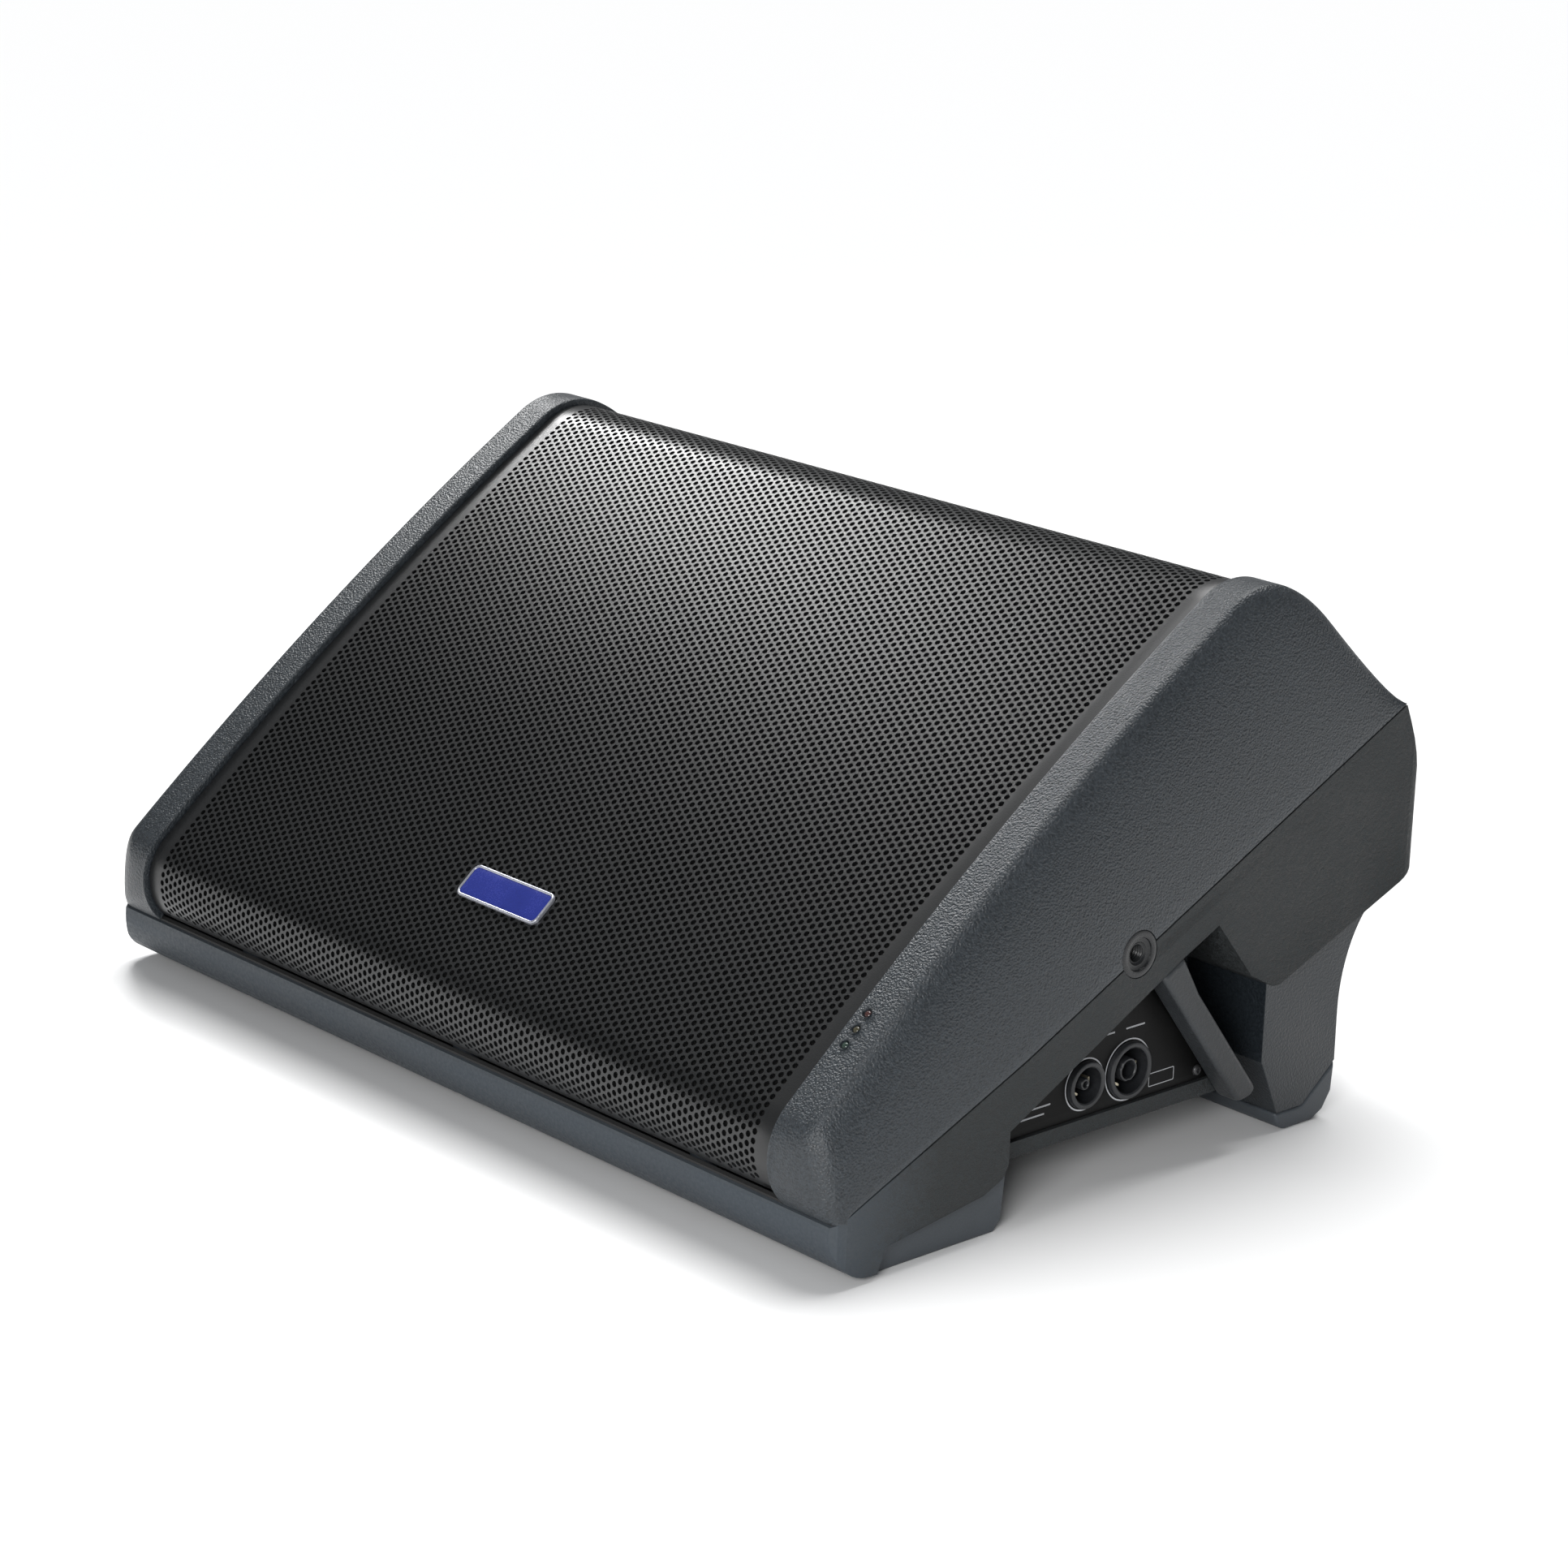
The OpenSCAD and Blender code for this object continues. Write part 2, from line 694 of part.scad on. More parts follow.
module compression_driver() {
    color([0.12, 0.12, 0.13]) driver_frame() rotate_extrude() polygon([[13, yoke_back],
        [37, yoke_back], [37, hf_back + 2], [35, hf_back], [0, hf_back], [0, hf_back + 3],
        [33.5, hf_back + 3], [33.5, yoke_back - 4], [13, yoke_back - 4]]);
}

module hf_magnet() {
    color([0.4, 0.4, 0.42]) driver_frame() translate([0, 0, hf_back + 3]) difference() {
        cylinder(r = 33, h = 9);
        translate([0, 0, -1]) cylinder(r = 22, h = 11);
    }
}

// Titanium dome with its short coil, in the compression driver.
module hf_diaphragm() {
    color([0.6, 0.6, 0.63]) driver_frame() translate([0, 0, yoke_back - 11]) rotate_extrude()
        polygon(concat(
            [for (i = [0:6]) [19 * sin(15 * i), 5 * cos(15 * i)]],
            [[19, -3], [18.5, -3], [18.4, -0.4]],
            [for (i = [5:-1:0]) [18.4 * sin(15 * i), 4.6 * cos(15 * i)]]));
}

module driver_screws() {
    color([0.12, 0.12, 0.12]) driver_frame()
        for (i = [0:screw_count - 1]) rotate((i + 0.5) * 360 / screw_count)
            translate([screw_circle_r, 0, 0]) {
                translate([0, 0, flange_t + 3]) cylinder(r = 4.6, h = 3);
                translate([0, 0, -8.8]) cylinder(r = 2.45, h = flange_t + 12);
            }
}

module port_tube() {
    driver_frame() translate([port_x, -50, 0]) difference() {
        union() {
            translate([0, 0, -port_len]) cylinder(r = port_r + 3, h = port_len + 1);
            cylinder(r = port_r + 6, h = 3);
        }
        translate([0, 0, -port_len - 1]) cylinder(r = port_r, h = port_len + 6);
    }
}
module port_tube_right() { color([0.06, 0.06, 0.06]) port_tube(); }
module port_tube_left() { color([0.06, 0.06, 0.06]) mirror([1, 0, 0]) port_tube(); }

// ---- Mains side, on the right ----

panel_screw_at = [[128, 43], [268, 43], [223, 100.5]];
module panel_plate() {
    across(panel_face - panel_t, panel_face) panel_2d(0);
}
module panel_screw_set() {
    for (at = panel_screw_at) {
        pin_across(at, 2.6, panel_face, panel_face + 1.4);
        pin_across(at, 1.4, panel_face - 6, panel_face + 0.1);
    }
}
module panel_screw_holes() {
    for (at = panel_screw_at) pin_across(at, 1.6, panel_face - 20, panel_face + 5);
}

module mains_panel() {
    color([0.03, 0.03, 0.03]) difference() {
        panel_plate();
        panel_screw_holes();
        pin_across(inlet_at, 10.9, 240, 280);
        pin_across(outlet_at, 12.9, 240, 280);
    }
}

// A locking mains connector: a round collar on the panel and a barrel behind it.
module mains_connector(at, collar_r, core_r) {
    difference() {
        union() {
            pin_across(at, collar_r, panel_face, panel_face + 3);
            pin_across(at, collar_r - 1.7, 243, panel_face + 1);
        }
        difference() {
            pin_across(at, collar_r - 3, 246, 280);
            pin_across(at, core_r, 240, panel_face);
        }
    }
}
module mains_inlet() { color([0.14, 0.15, 0.17]) mains_connector(inlet_at, 12, 3); }
module mains_outlet() { color([0.14, 0.15, 0.17]) mains_connector(outlet_at, 14.5, 6); }
module panel_screws() {
    color([0.1, 0.1, 0.1]) for (side = [0, 1]) mirrored_if(side == 1) panel_screw_set();
}

// Trays and boards lie on the cabinet floor, on both sides of the driver's magnet.
board_s = [206, 290];
board_x = [66, 212];
floor_z = arch_z + wall;
module slab(x0, x1, s0, s1, z0, z1) {
    translate([x0, s0 - mid_d, z0]) cube([x1 - x0, s1 - s0, z1 - z0]);
}

module power_supply_tray() {
    color([0.6, 0.6, 0.62]) {
        slab(board_x[0], board_x[1], board_s[0], board_s[1], floor_z, floor_z + 1.5);
        for (x = [76, 202], s = [216, 280])
            translate([x, s - mid_d, floor_z + 1.4]) cylinder(r = 3, h = 4.6);
    }
}
module power_supply_board() {
    color([0.1, 0.3, 0.15])
        slab(board_x[0] + 2, board_x[1] - 2, board_s[0] + 2, board_s[1] - 2, floor_z + 6, floor_z + 7.6);
}
module mains_transformer() {
    color([0.5, 0.42, 0.2]) {
        slab(90, 138, 225, 273, floor_z + 7.6, floor_z + 13);
        slab(96, 132, 231, 267, floor_z + 13, floor_z + 33);
        slab(90, 138, 225, 273, floor_z + 33, floor_z + 39);
    }
}
module reservoir_capacitors() {
    color([0.15, 0.15, 0.3]) for (s = [226, 250, 274])
        translate([160, s - mid_d, floor_z + 7.6]) cylinder(r = 11, h = 34);
}

// ---- Signal side, on the left (drawn on the right and mirrored) ----

module signal_panel() {
    color([0.03, 0.03, 0.03]) mirror([1, 0, 0]) difference() {
        panel_plate();
        panel_screw_holes();
        for (at = [xlr_in_at, xlr_link_at]) pin_across(at, 11.9, 240, 280);
        for (at = [volume_at, preset_at]) pin_across(at, 3.3, 240, 280);
        for (at = button_at) pin_across(at, button_r + 0.3, 240, 280);
        latch_block(0.4);
    }
}

module at_side(at) {
    translate([0, at[0], at[1]]) children();
}

// Square flange and hollow barrel of a panel XLR.
module xlr_shell() {
    difference() {
        union() {
            across(panel_face, panel_face + 2) translate([-13, -15.5]) square([26, 31]);
            pin_across([0, 0], 11.8, 244, panel_face + 0.5);
        }
        pin_across([0, 0], 9.6, 250, panel_face + 3);
    }
}

module input_xlr() {
    color([0.2, 0.2, 0.21]) mirror([1, 0, 0]) difference() {
        union() {
            at_side(xlr_in_at) xlr_shell();
            pin_across(xlr_in_at, 7.6, 249, panel_face + 1);
        }
        for (a = [90, 210, 330])
            pin_across(xlr_in_at + 4 * [cos(a), sin(a)], 1.3, 256, panel_face + 3);
        latch_block(0.4);
    }
}

// Push tab that frees the plug, above the socket.
module latch_block(gap) {
    across(panel_face - 8 - 5 * gap, panel_face + 5 + gap)
        translate([xlr_in_at[0] - 3 - gap, xlr_in_at[1] + 11.2 - gap]) square([6 + 2 * gap, 2.6 + 2 * gap]);
}
module xlr_latch() { color([0.55, 0.56, 0.58]) mirror([1, 0, 0]) latch_block(0); }

module link_xlr() {
    color([0.2, 0.2, 0.21]) mirror([1, 0, 0]) {
        at_side(xlr_link_at) xlr_shell();
        for (a = [90, 210, 330])
            pin_across(xlr_link_at + 4 * [cos(a), sin(a)], 1.2, 249, panel_face - 3);
    }
}

module rotary_body(at, r) {
    difference() {
        pin_across(at, r, panel_face - panel_t - 12, panel_face - panel_t);
        pin_across(at, 3.05, 250, 280);
    }
}
module volume_pot() { color([0.3, 0.3, 0.32]) mirror([1, 0, 0]) rotary_body(volume_at, 8); }
module preset_switch() { color([0.3, 0.3, 0.32]) mirror([1, 0, 0]) rotary_body(preset_at, 9); }

// A knob with a grip and a pointer rib, on its shaft.
module knob(at, r, grips) {
    difference() {
        union() {
            pin_across(at, r, panel_face + 1.5, panel_face + 13);
            pin_across(at, 3, panel_face - panel_t - 10, panel_face + 3);
        }
        for (i = [0:grips - 1])
            pin_across(at + (r + 0.5) * [cos(i * 360 / grips), sin(i * 360 / grips)], 1.1,
                panel_face + 3.5, panel_face + 14);
        across(panel_face + 12.2, panel_face + 14)
            translate(at - [0.6, 0]) square([1.2, r + 1]);
    }
}
module volume_knob() { color([0.08, 0.08, 0.08]) mirror([1, 0, 0]) knob(volume_at, 8.5, 16); }
module preset_knob() { color([0.08, 0.08, 0.08]) mirror([1, 0, 0]) knob(preset_at, 7, 12); }

module button(i) {
    pin_across(button_at[i], button_r, panel_face - panel_t - 4, panel_face + 4);
}
module mic_line_button() { color([0.7, 0.7, 0.72]) mirror([1, 0, 0]) button(0); }
module ground_lift_button() { color([0.7, 0.7, 0.72]) mirror([1, 0, 0]) button(1); }
module button_switches() {
    color([0.2, 0.2, 0.22]) mirror([1, 0, 0]) for (at = button_at)
        across(panel_face - panel_t - 16, panel_face - panel_t - 6.5)
            translate(at - [4, 4]) square(8);
}

module dsp_board() {
    color([0.1, 0.3, 0.15]) across(-241, -239.5) translate([142, 40]) square([110, 30]);
}

module heat_sink() {
    color([0.6, 0.6, 0.62]) {
        slab(-board_x[1], -board_x[0], board_s[0], board_s[1], floor_z, floor_z + 5);
        for (i = [0:5]) slab(-board_x[1] + 4 + i * 6, -board_x[1] + 6 + i * 6, board_s[0], board_s[1],
            floor_z + 5, floor_z + 26);
        for (x = [-160, -80], s = [216, 280])
            translate([x, s - mid_d, floor_z + 4.9]) cylinder(r = 3, h = 5.1);
    }
}
module amplifier_board() {
    color([0.1, 0.3, 0.15]) {
        slab(-170, -board_x[0] - 2, board_s[0] + 2, board_s[1] - 2, floor_z + 10, floor_z + 11.6);
        for (x = [-150, -120, -90])
            translate([x, 250 - mid_d, floor_z + 11.5]) cylinder(r = 9, h = 16);
    }
}

front_shell();
rear_shell();
shell_gasket();
grille();
grille_foam();
badge_plate();
power_led();
signal_led();
limit_led();
led_board();
front_foot_left();
front_foot_right();
rear_leg_left();
rear_leg_right();
side_strut_left();
side_strut_right();
rear_foot_left();
rear_foot_right();
side_socket_left();
side_socket_right();
shell_screws();
grille_screws();
woofer_basket();
woofer_gasket();
woofer_surround();
woofer_spider();
woofer_cone();
voice_coil();
woofer_top_plate();
woofer_magnet();
woofer_yoke();
horn();
compression_driver();
hf_magnet();
hf_diaphragm();
driver_screws();
port_tube_left();
port_tube_right();
mains_panel();
mains_inlet();
mains_outlet();
panel_screws();
power_supply_tray();
power_supply_board();
mains_transformer();
reservoir_capacitors();
signal_panel();
input_xlr();
xlr_latch();
link_xlr();
volume_pot();
volume_knob();
preset_switch();
preset_knob();
mic_line_button();
ground_lift_button();
button_switches();
dsp_board();
heat_sink();
amplifier_board();
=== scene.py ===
import json
import math
import bpy
import bmesh
import numpy as np
from mathutils import Vector, Matrix


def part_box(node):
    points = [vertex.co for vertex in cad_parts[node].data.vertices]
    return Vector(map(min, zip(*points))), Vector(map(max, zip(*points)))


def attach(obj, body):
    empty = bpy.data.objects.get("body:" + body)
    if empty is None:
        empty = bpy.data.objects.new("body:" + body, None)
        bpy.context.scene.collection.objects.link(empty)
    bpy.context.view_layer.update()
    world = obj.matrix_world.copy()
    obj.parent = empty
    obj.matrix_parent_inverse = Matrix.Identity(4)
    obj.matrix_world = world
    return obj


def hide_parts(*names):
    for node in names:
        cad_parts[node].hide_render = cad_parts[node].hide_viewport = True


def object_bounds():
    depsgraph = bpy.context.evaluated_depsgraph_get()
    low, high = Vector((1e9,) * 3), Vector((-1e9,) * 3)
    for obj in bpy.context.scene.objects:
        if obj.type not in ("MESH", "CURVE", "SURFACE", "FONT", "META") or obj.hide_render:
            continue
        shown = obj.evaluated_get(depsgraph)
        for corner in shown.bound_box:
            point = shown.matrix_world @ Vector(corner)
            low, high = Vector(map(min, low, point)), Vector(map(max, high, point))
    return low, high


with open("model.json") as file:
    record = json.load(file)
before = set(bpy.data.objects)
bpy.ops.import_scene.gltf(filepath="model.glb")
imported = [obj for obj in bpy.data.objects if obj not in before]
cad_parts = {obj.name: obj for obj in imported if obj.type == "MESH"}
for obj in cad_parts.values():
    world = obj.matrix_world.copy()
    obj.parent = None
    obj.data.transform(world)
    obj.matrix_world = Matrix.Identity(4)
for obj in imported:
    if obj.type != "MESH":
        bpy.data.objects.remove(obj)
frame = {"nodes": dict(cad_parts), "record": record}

# A floor stage monitor. Profiles are in mm: x across from the middle, s back from the front, z up.
CAD_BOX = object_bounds()
LOW, HIGH = CAD_BOX
Y0 = LOW[1]                    # world Y of s = 0, in metres
HALF_W = HIGH[0] * 1000        # half the width, in mm
NODES = frame["nodes"]


# ---------------------------------------------------------------- side outline
def normal_at(angle):
    """Outward unit normal (s, z) where the outline climbs at this many degrees."""
    t = math.radians(angle)
    return np.array([-math.sin(t), math.cos(t)])


# degrees of climb where the runs meet: roll, sloping face, rounded top, back
ROLL_START, FACE_START, FACE_END, TOP_END, BACK_END = 138.6, 41.4, 32.4, -22.0, -44.5
ROLL_R, FACE_R, TOP_R, BACK_R = 32.0, 2090.0, 42.0, 80.0
ROLL_C = np.array([32.0, 57.0])
ROLL_TOP = ROLL_C + ROLL_R * normal_at(FACE_START)
FACE_C = ROLL_TOP - FACE_R * normal_at(FACE_START)
FACE_TOP = FACE_C + FACE_R * normal_at(FACE_END)
FACE_ANGLE = math.degrees(math.atan2(*(FACE_TOP - ROLL_TOP)[::-1]))
TOP_C = FACE_TOP - TOP_R * normal_at(FACE_END)
TOP_BACK = TOP_C + TOP_R * normal_at(TOP_END)
BACK_C = TOP_BACK - BACK_R * normal_at(TOP_END)
BACK_TOP = BACK_C + BACK_R * normal_at(BACK_END)
BACK_DIR = np.array([math.cos(math.radians(BACK_END)), math.sin(math.radians(BACK_END))])

# the parting line between the shells: two straight runs that meet at the knee
PART_FRONT = ROLL_C + ROLL_R * normal_at(ROLL_START)
PART_KNEE = np.array([130.0, 85.5])
FRONT_ANGLE = math.degrees(math.atan2(*(PART_KNEE - PART_FRONT)[::-1]))
REAR_ANGLE = 26.2
PART_N = normal_at((FRONT_ANGLE + REAR_ANGLE) / 2)
REAR_N = normal_at(REAR_ANGLE)
PART_BACK = BACK_TOP + ((PART_KNEE - BACK_TOP) @ REAR_N) / (BACK_DIR @ REAR_N) * BACK_DIR

RIM_IN, RIM_OUT = 249.0, 268.0  # the flat rim beside the grille lies between these half widths
GRILLE_END = 351.0             # s where the grille stops behind the top
CORNER_SWEEP = 18.0            # how far the front corners sweep back


def height_over(p):
    """How high a point lies over the parting line."""
    return min((p - PART_FRONT) @ normal_at(FRONT_ANGLE), (p - PART_KNEE) @ REAR_N)


def outline(counts, start=ROLL_START):
    """(point, degrees of climb) along the front shell's side outline, from the lip round to the back."""
    runs = [(ROLL_C, ROLL_R, start, FACE_START), (FACE_C, FACE_R, FACE_START, FACE_END),
            (TOP_C, TOP_R, FACE_END, TOP_END), (BACK_C, BACK_R, TOP_END, BACK_END)]
    out = []
    for (c, r, a, b), n in zip(runs, counts):
        for i in range(n):
            t = a + (b - a) * i / n
            out.append((c + r * normal_at(t), t))
    n = counts[4]
    out += [(BACK_TOP + (PART_BACK - BACK_TOP) * i / n, BACK_END) for i in range(n + 1)]
    return out


def at(x, s, z):
    """World place in metres of a point in mm."""
    return (x / 1000, Y0 + s / 1000, z / 1000)


def smooth_max(a, b, k):
    return (a + b + math.sqrt((a - b) ** 2 + k * k)) / 2


def ease(v):
    """0 to 1 with a soft start and end."""
    v = min(1.0, max(0.0, v))
    return v * v * (3 - 2 * v)


def plan_front(x):
    """How far back the plan outline lies at that half width: the front corners sweep back."""
    u = min(1.0, max(0.0, (abs(x) - RIM_IN - 1) / (HALF_W - RIM_IN - 1)))
    return CORNER_SWEEP * (1 - math.sqrt(1 - u * u))


# ---------------------------------------------------------------- mesh helpers
def centre_of(node):
    lo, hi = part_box(node)
    return Vector([(a + b) / 2 for a, b in zip(lo, hi)])


def mesh_object(name, verts, faces, mats, ids=None, smooth=True):
    me = bpy.data.meshes.new(name)
    me.from_pydata([tuple(v) for v in verts], [], [tuple(f) for f in faces])
    for m in mats:
        me.materials.append(m)
    if ids is not None:
        me.polygons.foreach_set("material_index", ids)
    me.polygons.foreach_set("use_smooth", [smooth] * len(me.polygons))
    me.update()
    ob = bpy.data.objects.new(name, me)
    bpy.context.scene.collection.objects.link(ob)
    return ob


def tidy(ob, sharp=35):
    """Merges doubled points, turns the faces outwards and marks edges over that many degrees as sharp."""
    bm = bmesh.new()
    bm.from_mesh(ob.data)
    bmesh.ops.remove_doubles(bm, verts=bm.verts, dist=1e-6)
    bmesh.ops.dissolve_degenerate(bm, edges=bm.edges, dist=1e-7)
    bmesh.ops.recalc_face_normals(bm, faces=bm.faces)
    bm.to_mesh(ob.data)
    bm.free()
    ob.data.polygons.foreach_set("use_smooth", [True] * len(ob.data.polygons))
    ob.data.set_sharp_from_angle(angle=math.radians(sharp))
    return ob


def bake(ob):
    """Applies the modifiers of one of this script's own pieces."""
    dg = bpy.context.evaluated_depsgraph_get()
    me = bpy.data.meshes.new_from_object(ob.evaluated_get(dg))
    ob.modifiers.clear()
    ob.data = me


def cut(ob, cutter):
    m = ob.modifiers.new("cut", "BOOLEAN")
    m.operation, m.solver, m.object = "DIFFERENCE", "EXACT", cutter
    bake(ob)
    bpy.data.objects.remove(cutter)


def bevel(ob, width):
    """Rounded edges as modifiers, so a CAD node's own mesh stays as it is. The width is in mm."""
    weld = ob.modifiers.new("weld", "WELD")
    weld.merge_threshold = 2e-6
    flat = ob.modifiers.new("flat", "DECIMATE")
    flat.decimate_type, flat.angle_limit = "DISSOLVE", math.radians(1)
    edge = ob.modifiers.new("bevel", "BEVEL")
    edge.width, edge.segments = width / 1000, 3
    edge.limit_method, edge.angle_limit = "ANGLE", math.radians(30)
    edge.harden_normals, edge.use_clamp_overlap = True, True
    edge.miter_outer = "MITER_ARC"


def grid_faces(rows, columns, first=0, flip=False):
    """Quads over points that are stored row by row."""
    faces = []
    for i in range(rows - 1):
        for j in range(columns - 1):
            a = first + i * columns + j
            q = (a, a + 1, a + columns + 1, a + columns)
            faces.append(q[::-1] if flip else q)
    return faces


def lathe(profile, n=48, twist=None):
    """Turned surface from (radius, height) points in mm. twist(angle, point number) scales the radius."""
    verts, faces = [], []
    rows = len(profile)
    for i in range(n):
        a = 2 * math.pi * i / n
        for j, (r, h) in enumerate(profile):
            k = twist(a, j) if twist else 1.0
            verts.append((r * k * math.cos(a), r * k * math.sin(a), h))
    for i in range(n):
        a = i * rows
        b = (i + 1) % n * rows
        for j in range(rows - 1):
            faces.append((a + j, b + j, b + j + 1, a + j + 1))
    return verts, faces


def placed(verts, origin, direction, spin=0.0):
    """mm points in a local frame whose +Z is the direction, moved to a place given in metres."""
    turn = Vector((0, 0, 1)).rotation_difference(Vector(direction).normalized()).to_matrix().to_4x4()
    m = Matrix.Translation(Vector(origin)) @ turn @ Matrix.Rotation(spin, 4, "Z")
    return [tuple(m @ (Vector(v) / 1000)) for v in verts]


def joined(name, parts, mats, sharp=35):
    """One object from several (verts, faces, material index) sets."""
    verts, faces, ids = [], [], []
    for v, f, k in parts:
        n = len(verts)
        verts += v
        faces += [tuple(i + n for i in g) for g in f]
        ids += [k] * len(f)
    return tidy(mesh_object(name, verts, faces, mats, ids), sharp)


def rounded_rect(w, h, r, n=6):
    pts = []
    for k, (right, up) in enumerate(((1, 1), (-1, 1), (-1, -1), (1, -1))):
        for i in range(n + 1):
            a = math.radians(90 * k + 90 * i / n)
            pts.append((right * (w / 2 - r) + r * math.cos(a), up * (h / 2 - r) + r * math.sin(a)))
    return pts


def circle(r, n=64):
    return [(r * math.cos(2 * math.pi * i / n), r * math.sin(2 * math.pi * i / n)) for i in range(n)]


def stacked(loops, cap_last=True):
    """Faces between closed loops of equal length, given as lists of 3-D points."""
    n = len(loops[0])
    verts = [p for loop in loops for p in loop]
    faces = []
    for k in range(len(loops) - 1):
        for i in range(n):
            j = (i + 1) % n
            faces.append((k * n + i, k * n + j, (k + 1) * n + j, (k + 1) * n + i))
    if cap_last:
        faces.append(tuple(range((len(loops) - 1) * n, len(loops) * n)))
    return verts, faces


def add(ob, body="cabinet", replaces=()):
    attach(ob, body)
    if replaces:
        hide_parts(*replaces)


# ---------------------------------------------------------------- materials
def material(name, color, rough=0.5, metal=0.0, grain=0.0, size=0.0012, kind="leather", tone=0.15,
             rough_var=0.12, wear=0.25, wear_color=None, coat=0.0, spec=0.5, speck=0.12, deep=0.6,
             front=None, cloudy=0.08):
    """Procedural surface: grain as bump, cloudy colour and roughness, paler edges where hands and boxes rub,
    which on the upper shell also paint a highlight along the rim's crease.

    size and cloudy are the lengths of the grain and of the clouds in metres. front is the smoother, paler
    colour of the lip at the front, a painted highlight where the lip faces the light, which fades into color
    behind it.
    """
    mat = bpy.data.materials.new(name)
    mat.use_nodes = True
    nt = mat.node_tree
    bsdf = nt.nodes["Principled BSDF"]
    link = nt.links.new

    def node(kind_, **settings):
        n = nt.nodes.new(kind_)
        for k, v in settings.items():
            setattr(n, k, v)
        return n

    def noise(scale, detail=2.0, roughness=0.5):
        n = node("ShaderNodeTexNoise")
        n.inputs["Scale"].default_value = scale
        n.inputs["Detail"].default_value = detail
        n.inputs["Roughness"].default_value = roughness
        return n

    def spread(value, from_min, from_max, to_min, to_max):
        n = node("ShaderNodeMapRange")
        n.inputs["From Min"].default_value, n.inputs["From Max"].default_value = from_min, from_max
        n.inputs["To Min"].default_value, n.inputs["To Max"].default_value = to_min, to_max
        link(value, n.inputs["Value"])
        return n.outputs["Result"]

    def worked(operation, a, b):
        n = node("ShaderNodeMath", operation=operation)
        link(a, n.inputs[0])
        if isinstance(b, float):
            n.inputs[1].default_value = b
        else:
            link(b, n.inputs[1])
        return n.outputs["Value"]

    place = node("ShaderNodeTexCoord").outputs["Object"]
    big = noise(1 / cloudy, 4)
    link(place, big.inputs["Vector"])
    fine = noise(0.7 / size, 3, 0.65)
    link(place, fine.inputs["Vector"])
    clouds, grains = big.outputs["Fac"], fine.outputs["Fac"]

    #     colour: base, a little cloud, a little speck, a painted highlight on the lip's front, paler edges
    #         (rubbed wear, and on the upper shell a painted highlight along the crease)
    shade = spread(clouds, 0.3, 0.7, 1 - tone, 1 + tone)
    dots = spread(grains, 0.35, 0.65, 1 - speck, 1 + speck)
    base = node("ShaderNodeMix", data_type="RGBA", blend_type="MULTIPLY")
    base.inputs["Factor"].default_value = 1.0
    base.inputs["A"].default_value = (*color, 1)
    # painted light: the lip's front is coloured paler, as if lit from the front, and fades to the base colour
    # between 18 and 75 mm back; the speck and the grain are calmer there too
    if front:
        split = node("ShaderNodeSeparateXYZ")
        link(place, split.inputs["Vector"])
        painted_light_and_grain_fade = spread(split.outputs["Y"], Y0 + 0.018, Y0 + 0.075, 0.0, 1.0)
        painted_front_light = node("ShaderNodeMix", data_type="RGBA")
        painted_front_light.inputs["A"].default_value, painted_front_light.inputs["B"].default_value = (*front, 1), (*color, 1)
        link(painted_light_and_grain_fade, painted_front_light.inputs["Factor"])
        link(painted_front_light.outputs["Result"], base.inputs["A"])
        calm = node("ShaderNodeMix", data_type="FLOAT")
        calm.inputs["A"].default_value = 1.0
        link(painted_light_and_grain_fade, calm.inputs["Factor"])
        link(dots, calm.inputs["B"])
        dots = calm.outputs["Result"]
    link(worked("MULTIPLY", shade, dots), base.inputs["B"])
    # paler edges: rubbed wear, and at the upper shell's strength also a painted highlight along the rim's
    # crease
    edge = spread(node("ShaderNodeNewGeometry").outputs["Pointiness"], 0.52, 0.60, 0.0, wear)
    worn_and_highlit_edges = node("ShaderNodeMix", data_type="RGBA")
    link(worked("MULTIPLY", edge, clouds), worn_and_highlit_edges.inputs["Factor"])
    link(base.outputs["Result"], worn_and_highlit_edges.inputs["A"])
    rubbed_and_highlight_color = wear_color or tuple(min(1.0, c * 1.8 + 0.04) for c in color)
    worn_and_highlit_edges.inputs["B"].default_value = (*rubbed_and_highlight_color, 1)
    link(worn_and_highlit_edges.outputs["Result"], bsdf.inputs["Base Color"])

    mean = worked("MULTIPLY", worked("ADD", clouds, grains), 0.5)
    least, most = max(0.03, rough - rough_var), min(1, rough + rough_var)
    link(spread(mean, 0.3, 0.7, least, most), bsdf.inputs["Roughness"])

    bump = node("ShaderNodeBump")
    bump.inputs["Strength"].default_value = grain
    bump.inputs["Distance"].default_value = size * deep
    height = grains
    if kind == "leather":
        cell = node("ShaderNodeTexVoronoi", feature="SMOOTH_F1")
        cell.inputs["Scale"].default_value = 1 / size
        cell.inputs["Smoothness"].default_value = 0.6
        link(place, cell.inputs["Vector"])
        height = worked("ADD", cell.outputs["Distance"], grains)
    elif kind == "brushed":
        lines = noise(1 / size)
        stretch = node("ShaderNodeMapping")
        stretch.inputs["Scale"].default_value = (1, 1, 0.04)
        link(place, stretch.inputs["Vector"])
        link(stretch.outputs["Vector"], lines.inputs["Vector"])
        height = lines.outputs["Fac"]
    link(height, bump.inputs["Height"])
    if front:
        link(spread(painted_light_and_grain_fade, 0.0, 1.0, 0.12, grain), bump.inputs["Strength"])
    link(bump.outputs["Normal"], bsdf.inputs["Normal"])

    bsdf.inputs["Metallic"].default_value = metal
    bsdf.inputs["Specular IOR Level"].default_value = spec
    bsdf.inputs["Coat Weight"].default_value = coat
    bsdf.inputs["Coat Roughness"].default_value = 0.08
    return mat


